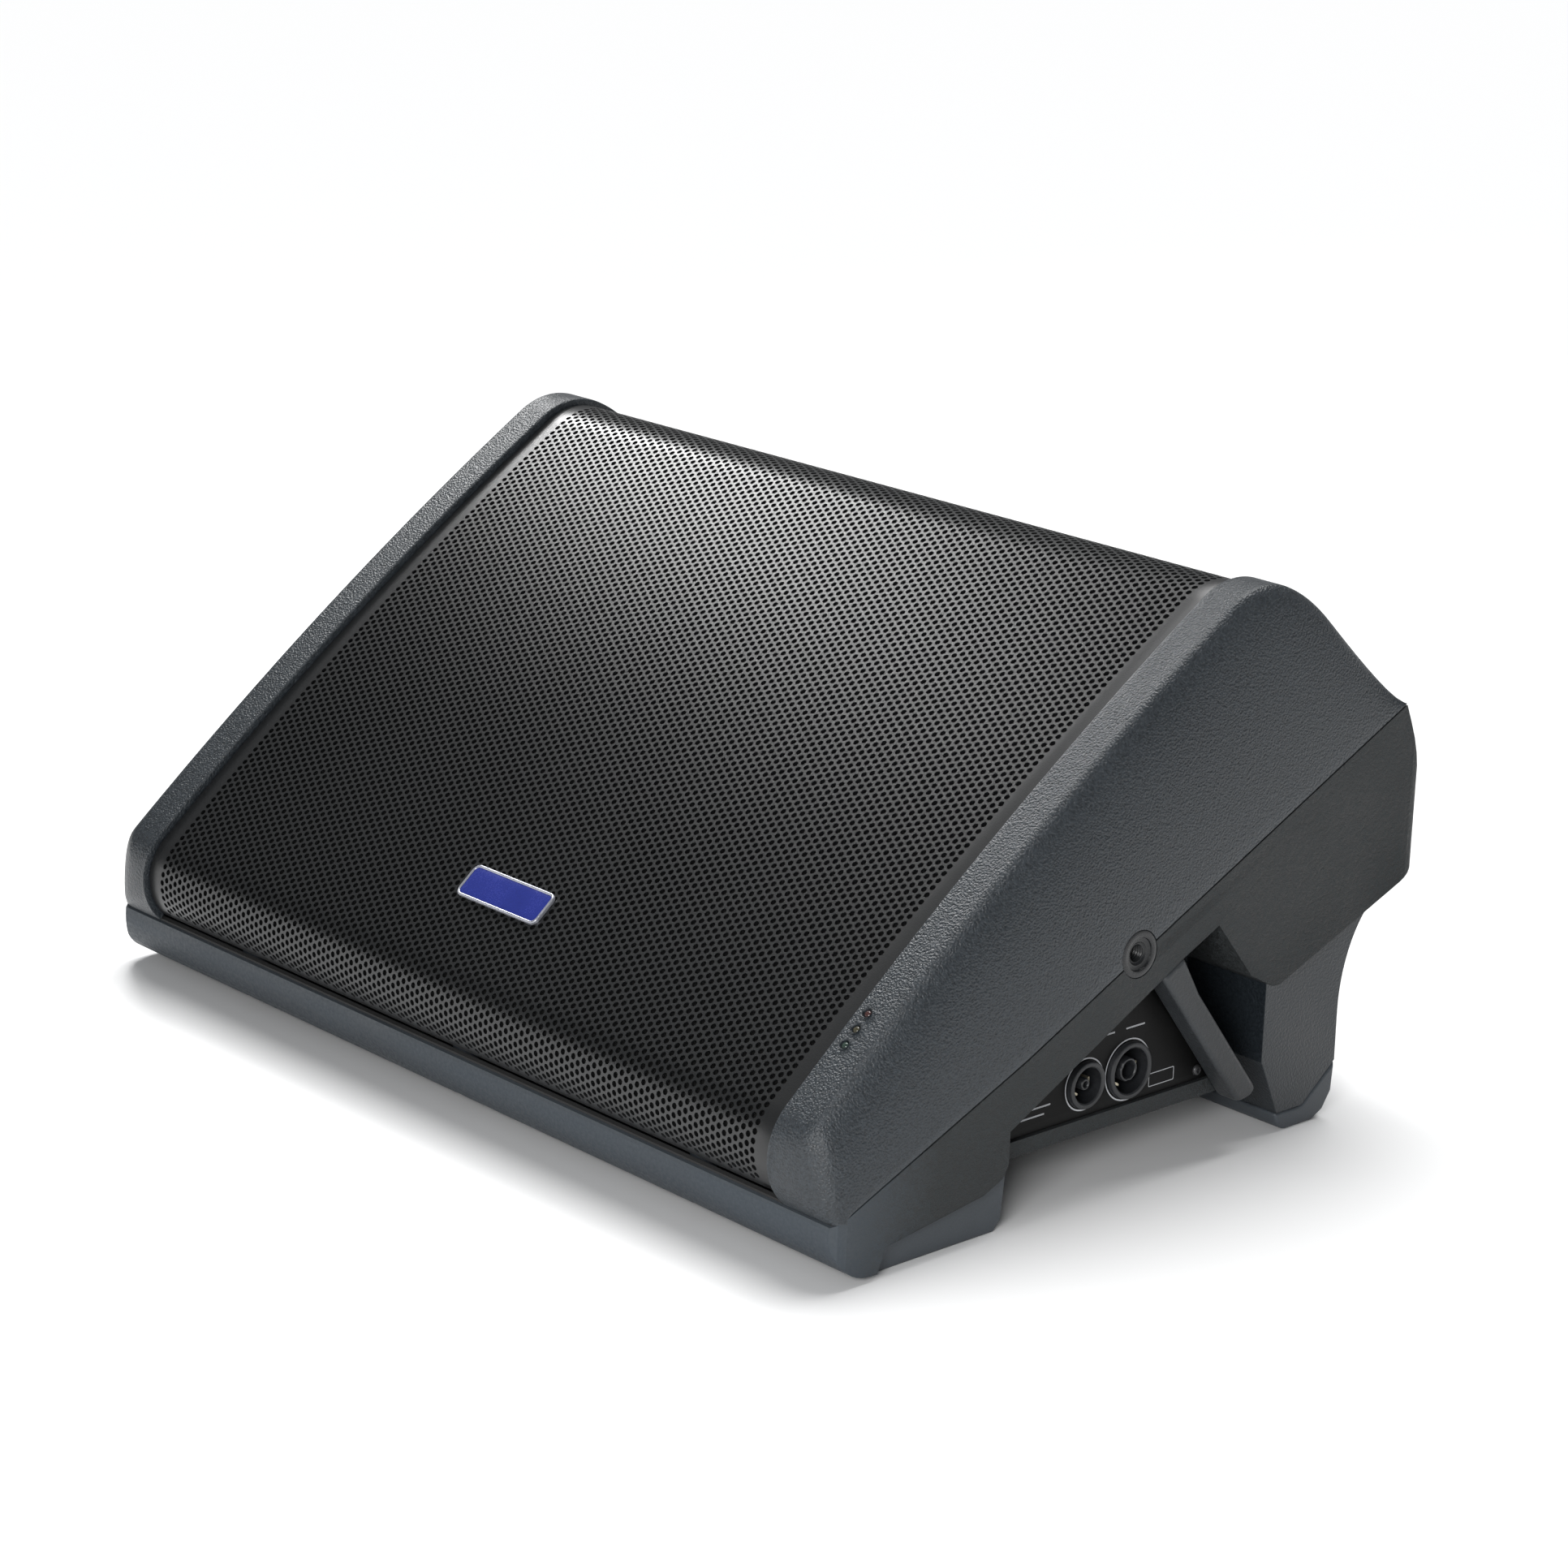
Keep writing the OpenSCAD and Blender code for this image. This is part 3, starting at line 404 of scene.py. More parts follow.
def finish(red, green, blue, rough, **look):
    return dict(color=(red, green, blue), rough=rough, **look)


def plain(red, green, blue, rough, **look):
    """A finish whose grain is fine noise."""
    return finish(red, green, blue, rough, kind="noise", **look)


def metal(red, green, blue, rough, **look):
    """A bright metal finish with brushed lines."""
    return finish(red, green, blue, rough, kind="brushed", metal=0.9, **look)


FINISHES = {
    # shell_upper's pale edges at 0.5 are rubbed wear and a painted highlight along the rim's crease
    "shell_upper": finish(0.021, 0.026, 0.031, 0.42, grain=0.8, size=0.0011, tone=0.12, wear=0.5, speck=0.35,
                          deep=0.4, cloudy=0.11),
    # shell_lower's front colour is a painted highlight: the lip is paler where it faces the light
    "shell_lower": plain(0.0095, 0.0120, 0.0130, 0.60, grain=1.0, size=0.0013, tone=0.2, rough_var=0.32,
                         wear=0.4, speck=0.9, deep=0.55, front=(0.040, 0.050, 0.061), spec=0.42, cloudy=0.09),
    "leg": finish(0.013, 0.017, 0.021, 0.40, grain=0.5, tone=0.15, wear=0.35, speck=0.25, deep=0.35),
    "strut": plain(0.008, 0.0095, 0.011, 0.45, grain=0.9, size=0.0013, tone=0.2, wear=0.8, speck=0.5,
                   deep=0.35, wear_color=(0.10, 0.11, 0.12)),
    "seal": plain(0.012, 0.012, 0.012, 0.8, grain=0.3, size=0.001),
    "grille": plain(0.0065, 0.007, 0.0075, 0.34, grain=0.2, size=0.0006, tone=0.05, rough_var=0.04, wear=0.12,
                    spec=0.6, cloudy=0.3),
    "foam": finish(0.004, 0.004, 0.004, 0.95, grain=1.0, size=0.0016, tone=0.4, spec=0.1),
    "badge": plain(0.013, 0.024, 0.20, 0.25, grain=0.1, size=0.0005, tone=0.10, coat=0.4, cloudy=0.02),
    "badge_rim": plain(0.42, 0.43, 0.48, 0.34, metal=0.7, grain=0.05, size=0.0008, wear=0.1),
    "led_green": plain(0.030, 0.050, 0.040, 0.10, grain=0.1, size=0.0005, coat=0.6),
    "led_yellow": plain(0.055, 0.050, 0.030, 0.10, grain=0.1, size=0.0005, coat=0.6),
    "led_red": plain(0.055, 0.022, 0.020, 0.10, grain=0.1, size=0.0005, coat=0.6),
    "circuit_board": plain(0.01, 0.09, 0.04, 0.35, grain=0.3, size=0.002, tone=0.2, coat=0.3),
    "foot": plain(0.045, 0.053, 0.062, 0.5, grain=0.2, size=0.0009, tone=0.12, wear=0.4, cloudy=0.05),
    "socket": plain(0.008, 0.009, 0.010, 0.28, spec=0.4, grain=0.3, size=0.0004, wear=0.6,
                    wear_color=(0.12, 0.12, 0.125)),
    "screw": plain(0.05, 0.05, 0.052, 0.36, metal=0.7, grain=0.2, size=0.0004, wear=0.6,
                   wear_color=(0.3, 0.3, 0.31)),
    "basket": plain(0.04, 0.04, 0.045, 0.5, metal=0.3, grain=0.5, size=0.0014),
    "cone": plain(0.03, 0.03, 0.033, 0.7, grain=0.8, tone=0.25),
    "surround": plain(0.012, 0.012, 0.012, 0.6, grain=0.2, size=0.0008),
    "spider": finish(0.45, 0.33, 0.14, 0.8, grain=0.8, size=0.0008),
    "coil": metal(0.62, 0.26, 0.10, 0.3, grain=0.6, size=0.0003),
    "steel": metal(0.45, 0.45, 0.47, 0.35, grain=0.3, size=0.0005),
    "ferrite": plain(0.045, 0.045, 0.05, 0.6, grain=0.4, size=0.0007),
    "horn": plain(0.02, 0.02, 0.021, 0.45, grain=0.3, size=0.0008),
    "diaphragm": plain(0.6, 0.6, 0.62, 0.25, metal=0.9, grain=0.1, size=0.0004),
    "panel": plain(0.003, 0.003, 0.003, 0.40, grain=0.08, size=0.0007, wear=0.1, spec=0.12),
    "connector": plain(0.012, 0.013, 0.015, 0.36, grain=0.25, size=0.0006, wear=0.4),
    "xlr_metal": plain(0.05, 0.05, 0.055, 0.38, metal=0.5, grain=0.3, size=0.0006, wear=0.5),
    "latch": metal(0.5, 0.5, 0.52, 0.3, grain=0.3, size=0.0004),
    "knob": plain(0.018, 0.018, 0.018, 0.55, grain=0.25, size=0.0005, wear=0.35),
    "button": plain(0.35, 0.35, 0.37, 0.3, grain=0.12, size=0.0005, wear=0.3),
    "part_body": plain(0.06, 0.06, 0.065, 0.45, grain=0.2, size=0.0008),
    "transformer": plain(0.40, 0.30, 0.10, 0.5, grain=0.5, size=0.001),
    "capacitor": plain(0.04, 0.04, 0.12, 0.3, grain=0.15, size=0.0008, coat=0.2),
    "heat_sink": metal(0.55, 0.55, 0.57, 0.38, grain=0.4, size=0.0006),
    "print": plain(0.42, 0.43, 0.45, 0.5, grain=0.1, size=0.0004, tone=0.1),
    "contact": plain(0.55, 0.50, 0.38, 0.3, metal=0.9, grain=0.1, size=0.0003),
}
M = {name: material(name, **look) for name, look in FINISHES.items()}

SLOT_OF = {s["node"]: s["material_slot"] for s in frame["record"]["subparts"]}
for side_name in ("left", "right"):
    SLOT_OF["rear_leg_" + side_name] = "leg"
    SLOT_OF["side_strut_" + side_name] = "strut"
for name, ob in NODES.items():
    mat = M[SLOT_OF.get(name, name)]
    if not ob.material_slots:
        ob.data.materials.append(mat)
    for slot in ob.material_slots:
        slot.material = mat

# ---------------------------------------------------------------- front shell: two crowned cheeks
WALL = 1.6                     # mm
# the rim's turned-down inner edge: how far out from RIM_IN, and how far out of the face
LIP = ((0.0, -7.5), (0.0, -3.5), (0.0, -1.2), (0.35, -0.35), (1.2, 0.0))
RIM_STEPS = 6
# degrees round the side, from the rim to the parting line
CROWN = (0, 3, 6, 9, 12, 16, 20, 25, 31, 38, 46, 55, 65, 76, 86, 90)
SOCKET_HOLE_R = 12.1
FACE_OUT = Vector((0, *normal_at(FACE_START)))
LAMP_RISE = 0.00475            # metres from the middle of a lamp's solid to the rim's surface


def cheek_row(p, t):
    """Points (x, s, z) across the cheek at one point of the outline: lip, flat rim, crowned side.

    In each ease() stand the degrees of climb where a change starts and over how many it goes.
    """
    h = max(0.0, height_over(p))
    rim_end = RIM_OUT - 3.0 * ease((t - 44) / 36) + (HALF_W + 1 - RIM_OUT) * ease((t - 80) / 58)
    keen = 0.22 * ease((t - 44) / 34) * (1 - ease((t - 100) / 34))  # the crease is keener round the roll
    row = []
    for out, rise in LIP:
        q = p if p[0] > GRILLE_END + 1 else p + rise * normal_at(t)
        row.append([RIM_IN + out, q[0], q[1]])
    rim_start = row[-1][0]
    for k in range(1, RIM_STEPS + 1):
        row.append([rim_start + (rim_end - 1.0 - rim_start) * k / RIM_STEPS, p[0], p[1]])
    for degrees in CROWN:
        a = math.radians(degrees)
        q = p - ((1 - keen) * (1 - math.cos(a)) + keen * math.sin(a)) * h * PART_N
        row.append([rim_end + (HALF_W - rim_end) * math.sin(a), q[0], q[1]])
    for v in row:  # the corner's sweep, only near the front
        if v[1] < 60 and v[0] > RIM_IN + 1:
            v[1] = smooth_max(v[1], plan_front(v[0]), 2.6)
    return row


def lamp_place(node):
    """Centre of a lamp's hole on the rim's surface."""
    return centre_of(node) + FACE_OUT * LAMP_RISE


def hole(profile, n, origin, direction):
    """A turned part of the cutter."""
    v, f = lathe(profile, n)
    return (placed(v, origin, direction), f, 0)


def cheek_piece(side, name):
    rows = [cheek_row(p, t) for p, t in outline((34, 60, 26, 10, 8))]
    verts = [at(side * x, s, z) for row in rows for x, s, z in row]
    faces = grid_faces(len(rows), len(rows[0]), flip=side < 0)
    ob = joined(name, [(verts, faces, 0)], [M["shell_upper"]], 60)
    if sum(f.normal.x * f.area for f in ob.data.polygons) * side < 0:
        ob.data.flip_normals()
    skin = ob.modifiers.new("wall", "SOLIDIFY")
    skin.thickness, skin.offset = WALL / 1000, -1
    bake(ob)
    for v in ob.data.vertices:  # where the skin narrows to an edge its inner wall comes out past the side
        if abs(v.co.x) > (HALF_W + 0.01) / 1000:
            v.co.x = side * (HALF_W - WALL) / 1000
    socket = centre_of("side_socket_right" if side > 0 else "side_socket_left")
    r = SOCKET_HOLE_R
    place = (side * HALF_W / 1000, socket.y, socket.z)
    holes = [hole([(0, -12), (r, -12), (r, 12), (0, 12)], 64, place, (side, 0, 0))]
    if side > 0:
        lamp_hole = [(0, -4), (2.35, -4), (2.35, -0.5), (3.0, 0.15), (3.0, 3), (0, 3)]
        for node in ("power_led", "signal_led", "limit_led"):
            holes.append(hole(lamp_hole, 32, lamp_place(node), FACE_OUT))
    cut(ob, joined("cutter", holes, [M["shell_upper"]]))
    tidy(ob, 50)
    add(ob, replaces=("front_shell",))


cheek_piece(1, "front_shell_cheek_right")
cheek_piece(-1, "front_shell_cheek_left")


# ---------------------------------------------------------------- front shell: the strip behind the grille
def back_strip():
    back = [(p, t) for p, t in outline((4, 6, 60, 40, 12)) if p[0] >= GRILLE_END + 1]
    first, angle = back[0]
    rows = []
    turned_down = ((-7.5, 0.35), (-3.0, 0.35), (-1.0, 0.35), (-0.3, 0.1))
    for inset, forward in turned_down:
        q = first + inset * normal_at(angle)
        rows.append((q[0] - forward, q[1]))
    rows.append((first[0] + 0.5, first[1]))
    rows += [(p[0], p[1]) for p, _ in back[2::2]]
    rows.append((PART_BACK[0], PART_BACK[1]))
    rows.append((PART_BACK[0] - 3, PART_BACK[1] - 0.2))
    xs = np.linspace(-RIM_IN - 0.9, RIM_IN + 0.9, 41)
    verts = [at(x, s, z) for s, z in rows for x in xs]
    strip = joined("front_shell_back_strip", [(verts, grid_faces(len(rows), len(xs)), 0)], [M["shell_upper"]])
    add(strip, replaces=("front_shell",))


back_strip()

# ---------------------------------------------------------------- grille: real holes in staggered columns
HOLE_PITCH, COLUMN_GAP, COLUMNS = 4.5, 3.9, 122  # mm along a column, mm between columns
HOLE_R = 1.62                  # to the corners of the eight-sided hole
HOLE_DEPTH = 1.25
GRILLE_INSET = 3.5             # how far the sheet lies under the rim's outline
GRILLE_MARGIN = 3.0            # least plain sheet before the first hole of a column
GRILLE_EDGE = RIM_IN - 0.6     # half width of the sheet


def grille_curve():
    """Lengths along the sheet's side curve, with the points and the normals there."""
    rim = outline((60, 120, 60, 60, 20), start=135.0)
    curve = [(p - GRILLE_INSET * normal_at(t), normal_at(t)) for p, t in rim]
    curve = [(p, n) for p, n in curve if p[0] <= GRILLE_END]
    points = np.array([p for p, _ in curve])
    steps = np.linalg.norm(np.diff(points, axis=0), axis=1)
    return np.concatenate([[0], np.cumsum(steps)]), points, np.array([n for _, n in curve])


LENGTHS, POINTS, NORMALS = grille_curve()
SHEET_LENGTH = LENGTHS[-1]
HALF_STEPS = int((SHEET_LENGTH - 2 * GRILLE_MARGIN) // (HOLE_PITCH / 2)) // 2 * 2
FIRST_ROW = (SHEET_LENGTH - HALF_STEPS * HOLE_PITCH / 2) / 2
ROWS = FIRST_ROW + HOLE_PITCH / 2 * np.arange(HALF_STEPS + 1)
COLUMN_X = COLUMN_GAP * (np.arange(COLUMNS + 1) - COLUMNS / 2)


def on_grille(x, length, depth):
    """World places on the sheet, depth mm under its surface."""
    s = np.interp(length, LENGTHS, POINTS[:, 0]) - depth * np.interp(length, LENGTHS, NORMALS[:, 0])
    z = np.interp(length, LENGTHS, POINTS[:, 1]) - depth * np.interp(length, LENGTHS, NORMALS[:, 1])
    return np.stack([x / 1000, Y0 + s / 1000, z / 1000], axis=-1)


def hole_faces(left, right, rim, low):
    """The sheet round one hole and the hole's wall. left and right are the cell's lower corners."""
    left_mid, left_top, right_mid, right_top = left + 1, left + 2, right + 1, right + 2
    faces = [(right_top, left_top, rim[2], rim[1]), (left_top, left_mid, rim[3], rim[2]),
             (left_mid, rim[4], rim[3]), (left_mid, left, rim[5], rim[4]),
             (left, right, rim[6], rim[5]), (right, right_mid, rim[7], rim[6]),
             (right_mid, rim[0], rim[7]), (right_mid, right_top, rim[1], rim[0])]
    return faces + [(rim[i], rim[(i + 1) % 8], low[(i + 1) % 8], low[i]) for i in range(8)]


def grille_third(name, first, last):
    """The sheet between two columns, with a hole in each cell."""
    xs = COLUMN_X[first:last + 1]
    x, length = np.meshgrid(xs, ROWS, indexing="ij")
    grid = on_grille(x.ravel(), length.ravel(), 0.0)
    m = len(ROWS)
    faces, centres, corners = [], [], []
    for j in range(last - first):
        shifted = (first + j) % 2
        if shifted:  # half a cell of plain sheet at each end
            for e in (j * m, j * m + HALF_STEPS - 1):
                faces.append((e, e + m, e + m + 1, e + 1))
        for i in range(shifted, HALF_STEPS - shifted - 1, 2):
            centres.append((xs[j] + COLUMN_GAP / 2, ROWS[i + 1]))
            corners.append((j * m + i, (j + 1) * m + i))
    centres = np.array(centres)
    ang = np.radians(22.5 + 45 * np.arange(8))
    ring_x = (centres[:, :1] + HOLE_R * np.cos(ang)).ravel()
    ring_l = (centres[:, 1:] + HOLE_R * np.sin(ang)).ravel()
    verts = np.concatenate([grid, on_grille(ring_x, ring_l, 0.0), on_grille(ring_x, ring_l, HOLE_DEPTH)])
    for k, (left, right) in enumerate(corners):
        rim = [len(grid) + k * 8 + i for i in range(8)]
        faces += hole_faces(left, right, rim, [v + len(ring_x) for v in rim])
    ob = mesh_object(name, verts.tolist(), faces, [M["grille"]], smooth=False)
    add(ob, replaces=("grille",))


def grille_border():
    """Plain sheet all round the holes, with a turned-down edge."""
    lengths = np.concatenate([[0.0], ROWS, [SHEET_LENGTH]])
    verts, faces = [], []
    section = ((COLUMN_X[-1], 0.0), (GRILLE_EDGE - 0.8, 0.0), (GRILLE_EDGE - 0.2, 0.25), (GRILLE_EDGE, 0.9),
               (GRILLE_EDGE, 5.0))
    out = np.array([x for x, _ in section])
    depths = np.array([d for _, d in section])
    for side in (-1, 1):
        faces += grid_faces(len(lengths), len(section), len(verts), flip=side < 0)
        for length in lengths:
            verts += on_grille(side * out, np.full(len(out), length), depths).tolist()
    xs = np.concatenate([[-GRILLE_EDGE], COLUMN_X, [GRILLE_EDGE]])
    front = ((0.0, 4.0), (0.0, 0.0), (ROWS[0], 0.0))
    back = ((ROWS[-1], 0.0), (SHEET_LENGTH, 0.0), (SHEET_LENGTH, 4.0))
    for rows in (front, back):
        faces += grid_faces(len(rows), len(xs), len(verts))
        for length, depth in rows:
            verts += on_grille(xs, np.full(len(xs), length), depth).tolist()
    ob = mesh_object("grille_border", verts, faces, [M["grille"]])
    ob.data.set_sharp_from_angle(angle=math.radians(40))
    add(ob, replaces=("grille",))


for k, name in enumerate(("grille_left", "grille_middle", "grille_right")):
    grille_third(name, COLUMNS * k // 3, COLUMNS * (k + 1) // 3)
grille_border()


# ---------------------------------------------------------------- badge: plain blue plate in a bright frame
BADGE_H = 19.2                 # mm up the face
BADGE_BELOW = 119.6            # mm down the face from its middle


def badge():
    lo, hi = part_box("badge_plate")
    width = (hi[0] - lo[0]) * 1000
    mid = centre_of("badge_plate")
    tilt = math.degrees(math.asin(BADGE_BELOW / FACE_R)) + FACE_ANGLE
    out = Vector((0, *normal_at(tilt)))
    up_face = Vector((0, math.cos(math.radians(tilt)), math.sin(math.radians(tilt))))

    def loop(inset, rise, corner=4.0):
        pts = rounded_rect(width - 2 * inset, BADGE_H - 2 * inset, corner - inset, 8)
        return [tuple(mid + (Vector((x, 0, 0)) + up_face * y + out * rise) / 1000) for x, y in pts]

    bezel = [loop(0, -1.0), loop(0, 0.5), loop(0.25, 0.85), loop(0.7, 1.0), loop(1.2, 0.85), loop(1.45, 0.5)]
    plate = [loop(1.35, 0.40), loop(2.2, 0.58), loop(4.5, 0.68, 4.9)]
    ob = joined("badge_plate_blue", [(*stacked(bezel, cap_last=False), 0), (*stacked(plate), 1)],
                [M["badge_rim"], M["badge"]], 50)
    add(ob, replaces=("badge_plate",))


badge()


# ---------------------------------------------------------------- lamps in the right rim
def lamp(node, mat):
    place = lamp_place(node)
    cup, cup_faces = lathe([(2.95, 0.05), (2.6, -0.25), (2.3, -0.7), (2.25, -2.2), (1.9, -2.2)], 32)
    dome = [(1.95, -2.4), (1.9, -1.5), (1.6, -1.0), (1.1, -0.72), (0.5, -0.6), (0.02, -0.58)]
    lens, lens_faces = lathe(dome, 32)
    parts = [(placed(cup, place, FACE_OUT), cup_faces, 0), (placed(lens, place, FACE_OUT), lens_faces, 1)]
    add(joined(node + "_lens", parts, [M["shell_upper"], M[mat]]), replaces=(node,))


lamp("power_led", "led_green")
lamp("signal_led", "led_yellow")
lamp("limit_led", "led_red")

# ---------------------------------------------------------------- side sockets: turned inserts with a thread
THREAD_PITCH, THREAD_TURNS = 1.5, 11


def side_socket(side, node):
    middle = centre_of(node)
    profile = [(11.95, -21.9), (11.95, -0.9), (11.7, -0.3), (11.1, 0.0), (9.0, 0.0), (8.4, -0.25),
               (8.1, -1.0), (7.0, -1.35), (5.9, -1.5), (5.2, -2.2)]
    for k in range(THREAD_TURNS):
        z = -2.4 - THREAD_PITCH * k
        profile += [(4.45, z), (4.45, z - 0.2), (5.0, z - 0.75), (5.0, z - 0.85)]
    profile += [(4.2, -2.4 - THREAD_PITCH * THREAD_TURNS), (4.1, -21.5), (0.02, -21.8)]
    v, f = lathe(profile, 56)
    v = placed(v, (side * HALF_W / 1000, middle.y, middle.z), (side, 0, 0))
    add(joined(node + "_insert", [(v, f, 0)], [M["socket"]]), replaces=(node,))


side_socket(1, "side_socket_right")
side_socket(-1, "side_socket_left")


# ---------------------------------------------------------------- screws with a six-lobed recess
def screws(name, node, places, r, h):
    """Heads of radius r and height h, in mm, at (place in metres, way out)."""
    def star(angle, point):
        return 1 + 0.16 * math.cos(6 * angle) if point in (6, 7, 8) else 1.0

    profile = [(0.5, -1.2 / h), (1, -0.1 / h), (1, 0.45), (0.93, 0.7), (0.78, 0.9), (0.62, 0.98), (0.5, 1),
               (0.46, 0.9), (0.44, 0.3), (0.3, 0.22), (0.02 / r, 0.2)]
    v, f = lathe([(r * a, h * b) for a, b in profile], 72, star)
    parts = [(placed(v, place, out, 0.6 * k), f, 0) for k, (place, out) in enumerate(places)]
    add(joined(name, parts, [M["screw"]]), replaces=(node,))


PANEL_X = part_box("mains_panel")[1][0]
PANEL_SCREWS = ((128, 43), (268, 43), (223, 100.5))  # (s, z)
BOTH_PANELS = [(at(side * PANEL_X * 1000, s, z), (side, 0, 0)) for side in (1, -1) for s, z in PANEL_SCREWS]
screws("panel_screw_heads", "panel_screws", BOTH_PANELS, 2.7, 1.5)
GRILLE_SCREW = BACK_TOP - GRILLE_INSET * normal_at(BACK_END) + 3 * BACK_DIR
screws("grille_screw_heads", "grille_screws",
       [(at(x, *GRILLE_SCREW), (0, *normal_at(BACK_END))) for x in (-210, -70, 70, 210)], 3.6, 2.0)
SCREWS_LOW, SCREWS_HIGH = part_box("shell_screws")
FRONT_SCREWS = (SCREWS_LOW[1] + 0.0046, SCREWS_LOW[2] + 0.003)  # (y, z) in metres
REAR_SCREWS = (SCREWS_HIGH[1] - 0.0046, 0.1839)
screws("shell_screw_heads", "shell_screws",
       [((x, *row), (0, 0, -1)) for x in (-0.18, 0, 0.18) for row in (FRONT_SCREWS, REAR_SCREWS)], 4.6, 3.0)


# ---------------------------------------------------------------- mains panel: locking connectors
def connector(node, rim, core, name):
    """A ring, a core and three contacts between them. rim and core are radii in mm. Returns the middle."""
    middle = centre_of(node)
    place = (PANEL_X, middle.y, middle.z)

    def notch(angle, point):
        return 0.94 if math.cos(3 * angle) > 0.93 else 1.0

    ring_profile = [(rim - 2, -20), (rim - 1.8, 0.0), (rim, 0.0), (rim, 2.1), (rim - 0.3, 2.7),
                    (rim - 0.9, 3.0), (rim - 2.2, 3.0), (rim - 2.9, 2.5), (rim - 3.1, 1.6), (rim - 3.2, -18),
                    (core + 0.4, -18)]
    v, f = lathe(ring_profile, 72)
    parts = [(placed(v, place, (1, 0, 0)), f, 0)]
    core_profile = [(core, -18), (core, 0.2), (core - 0.4, 0.8), (core - 1.1, 0.9), (core - 1.5, 0.4),
                    (core - 1.6, -6), (0.02, -6)]
    v, f = lathe(core_profile, 60, notch if core > 4 else None)
    parts.append((placed(v, place, (1, 0, 0)), f, 0))
    between = (rim - 3.2 + core) / 2
    blade = rounded_rect(1.1, 3.4, 0.3, 2)
    for k in range(3):
        turn = math.radians(90 + 120 * k)
        c, s = math.cos(turn), math.sin(turn)
        base = [((between + x) * c - y * s, (between + x) * s + y * c) for x, y in blade]
        levels = ((1, -18), (1, -3.2), (0.99, -2.8))
        v, f = stacked([[(x * shrink, y * shrink, z) for x, y in base] for shrink, z in levels])
        parts.append((placed(v, place, (1, 0, 0)), f, 1))
    add(joined(name, parts, [M["connector"], M["contact"]]), replaces=(node,))
    return middle


INLET = connector("mains_inlet", 12.0, 3.0, "mains_inlet_body")
OUTLET = connector("mains_outlet", 14.5, 6.0, "mains_outlet_body")

# ---------------------------------------------------------------- printed marks on both panels
PRINT_X = PANEL_X + 0.00004    # metres: a hair proud of the panel


def band(middle, outer, inner, side=1):
    """The band between two loops of (s, z) offsets in mm round a middle in metres."""
    v = [(side * PRINT_X, middle[1] + a / 1000, middle[2] + b / 1000) for a, b in outer + inner]
    n = len(outer)
    return v, [(i, (i + 1) % n, n + (i + 1) % n, n + i) for i in range(n)], 0


def bar(s, z, width):
    """A short line that stands in for a row of lettering."""
    return band(at(0, s, z), rounded_rect(width, 0.8, 0.3), rounded_rect(width - 0.7, 0.1, 0.04))


def mains_print():
    rings = [band(INLET, circle(13.4), circle(12.7)), band(OUTLET, circle(15.9), circle(15.2))]
    box = band(at(0, 242.5, 45.5), rounded_rect(18, 7, 0.8), rounded_rect(17.2, 6.2, 0.6))
    bars = [bar(150, 50, 30), bar(150, 46, 22), bar(200, 76.5, 15), bar(222, 76.5, 13), bar(196, 80.5, 10)]
    add(joined("mains_panel_print", rings + [box] + bars, [M["print"]]))


def scale_marks(node, r, half_turn):
    """One dot every 30 degrees round a knob, from stop to stop."""
    middle = centre_of(node)
    marks = []
    for k in range(half_turn // 15 + 1):
        a = math.radians(90 + half_turn - 30 * k)
        dot = middle + Vector((0, math.cos(a), math.sin(a))) * r / 1000
        marks.append(band(dot, circle(0.45, 12), circle(0.1, 12), -1))
    return marks


# ---------------------------------------------------------------- signal panel: knobs
def knob(node, body, r, grips):
    middle = centre_of(node)
    place = (-PANEL_X, middle.y, middle.z)

    def fluted(angle, point):
        return 1 - 0.0275 * (1 + math.cos(grips * angle)) if 2 <= point <= 5 else 1.0

    profile = [(3, -12), (3, 1.0), (r, 1.6), (r, 3.2), (r - 0.25, 10.4), (r - 0.55, 11.6), (r - 1.5, 12.6),
               (r - 2.6, 12.9), (r - 3.2, 12.5), (0.02, 12.4)]
    v, f = lathe(profile, 144, fluted)
    parts = [(placed(v, place, (-1, 0, 0)), f, 0)]
    line = [(x, y + (r - 2.0) / 2 + 0.9) for x, y in rounded_rect(0.9, r - 2.0, 0.3, 2)]
    v, f = stacked([[(x, y, z) for x, y in line] for z in (12.2, 12.95)])
    parts.append((placed(v, place, (-1, 0, 0), math.radians(-90)), f, 1))  # the line points up at rest
    add(joined(node + "_grip", parts, [M["knob"], M["print"]]), body, (node,))


mains_print()
knob("volume_knob", "volume", 8.5, 24)
knob("preset_knob", "preset", 7.0, 18)
MARKS = scale_marks("volume_knob", 11.2, 150) + scale_marks("preset_knob", 9.8, 105)
add(joined("signal_panel_print", MARKS, [M["print"]]))

# -------------------------------------------------------- rounded edges on CAD nodes that keep their shape
ROUNDING = {  # mm
    "rear_shell": 1.3, "front_foot_left": 2.2, "front_foot_right": 2.2, "rear_foot_left": 2.0,
    "rear_foot_right": 2.0, "rear_leg_left": 5.0, "rear_leg_right": 5.0, "side_strut_left": 4.0,
    "side_strut_right": 4.0, "mains_panel": 0.4, "signal_panel": 0.4, "input_xlr": 0.35, "link_xlr": 0.35,
    "xlr_latch": 0.3, "mic_line_button": 0.4, "ground_lift_button": 0.4, "woofer_basket": 1.0,
    "heat_sink": 0.4, "mains_transformer": 1.5, "reservoir_capacitors": 0.8, "compression_driver": 1.0,
}
for node, width in ROUNDING.items():
    bevel(NODES[node], width)


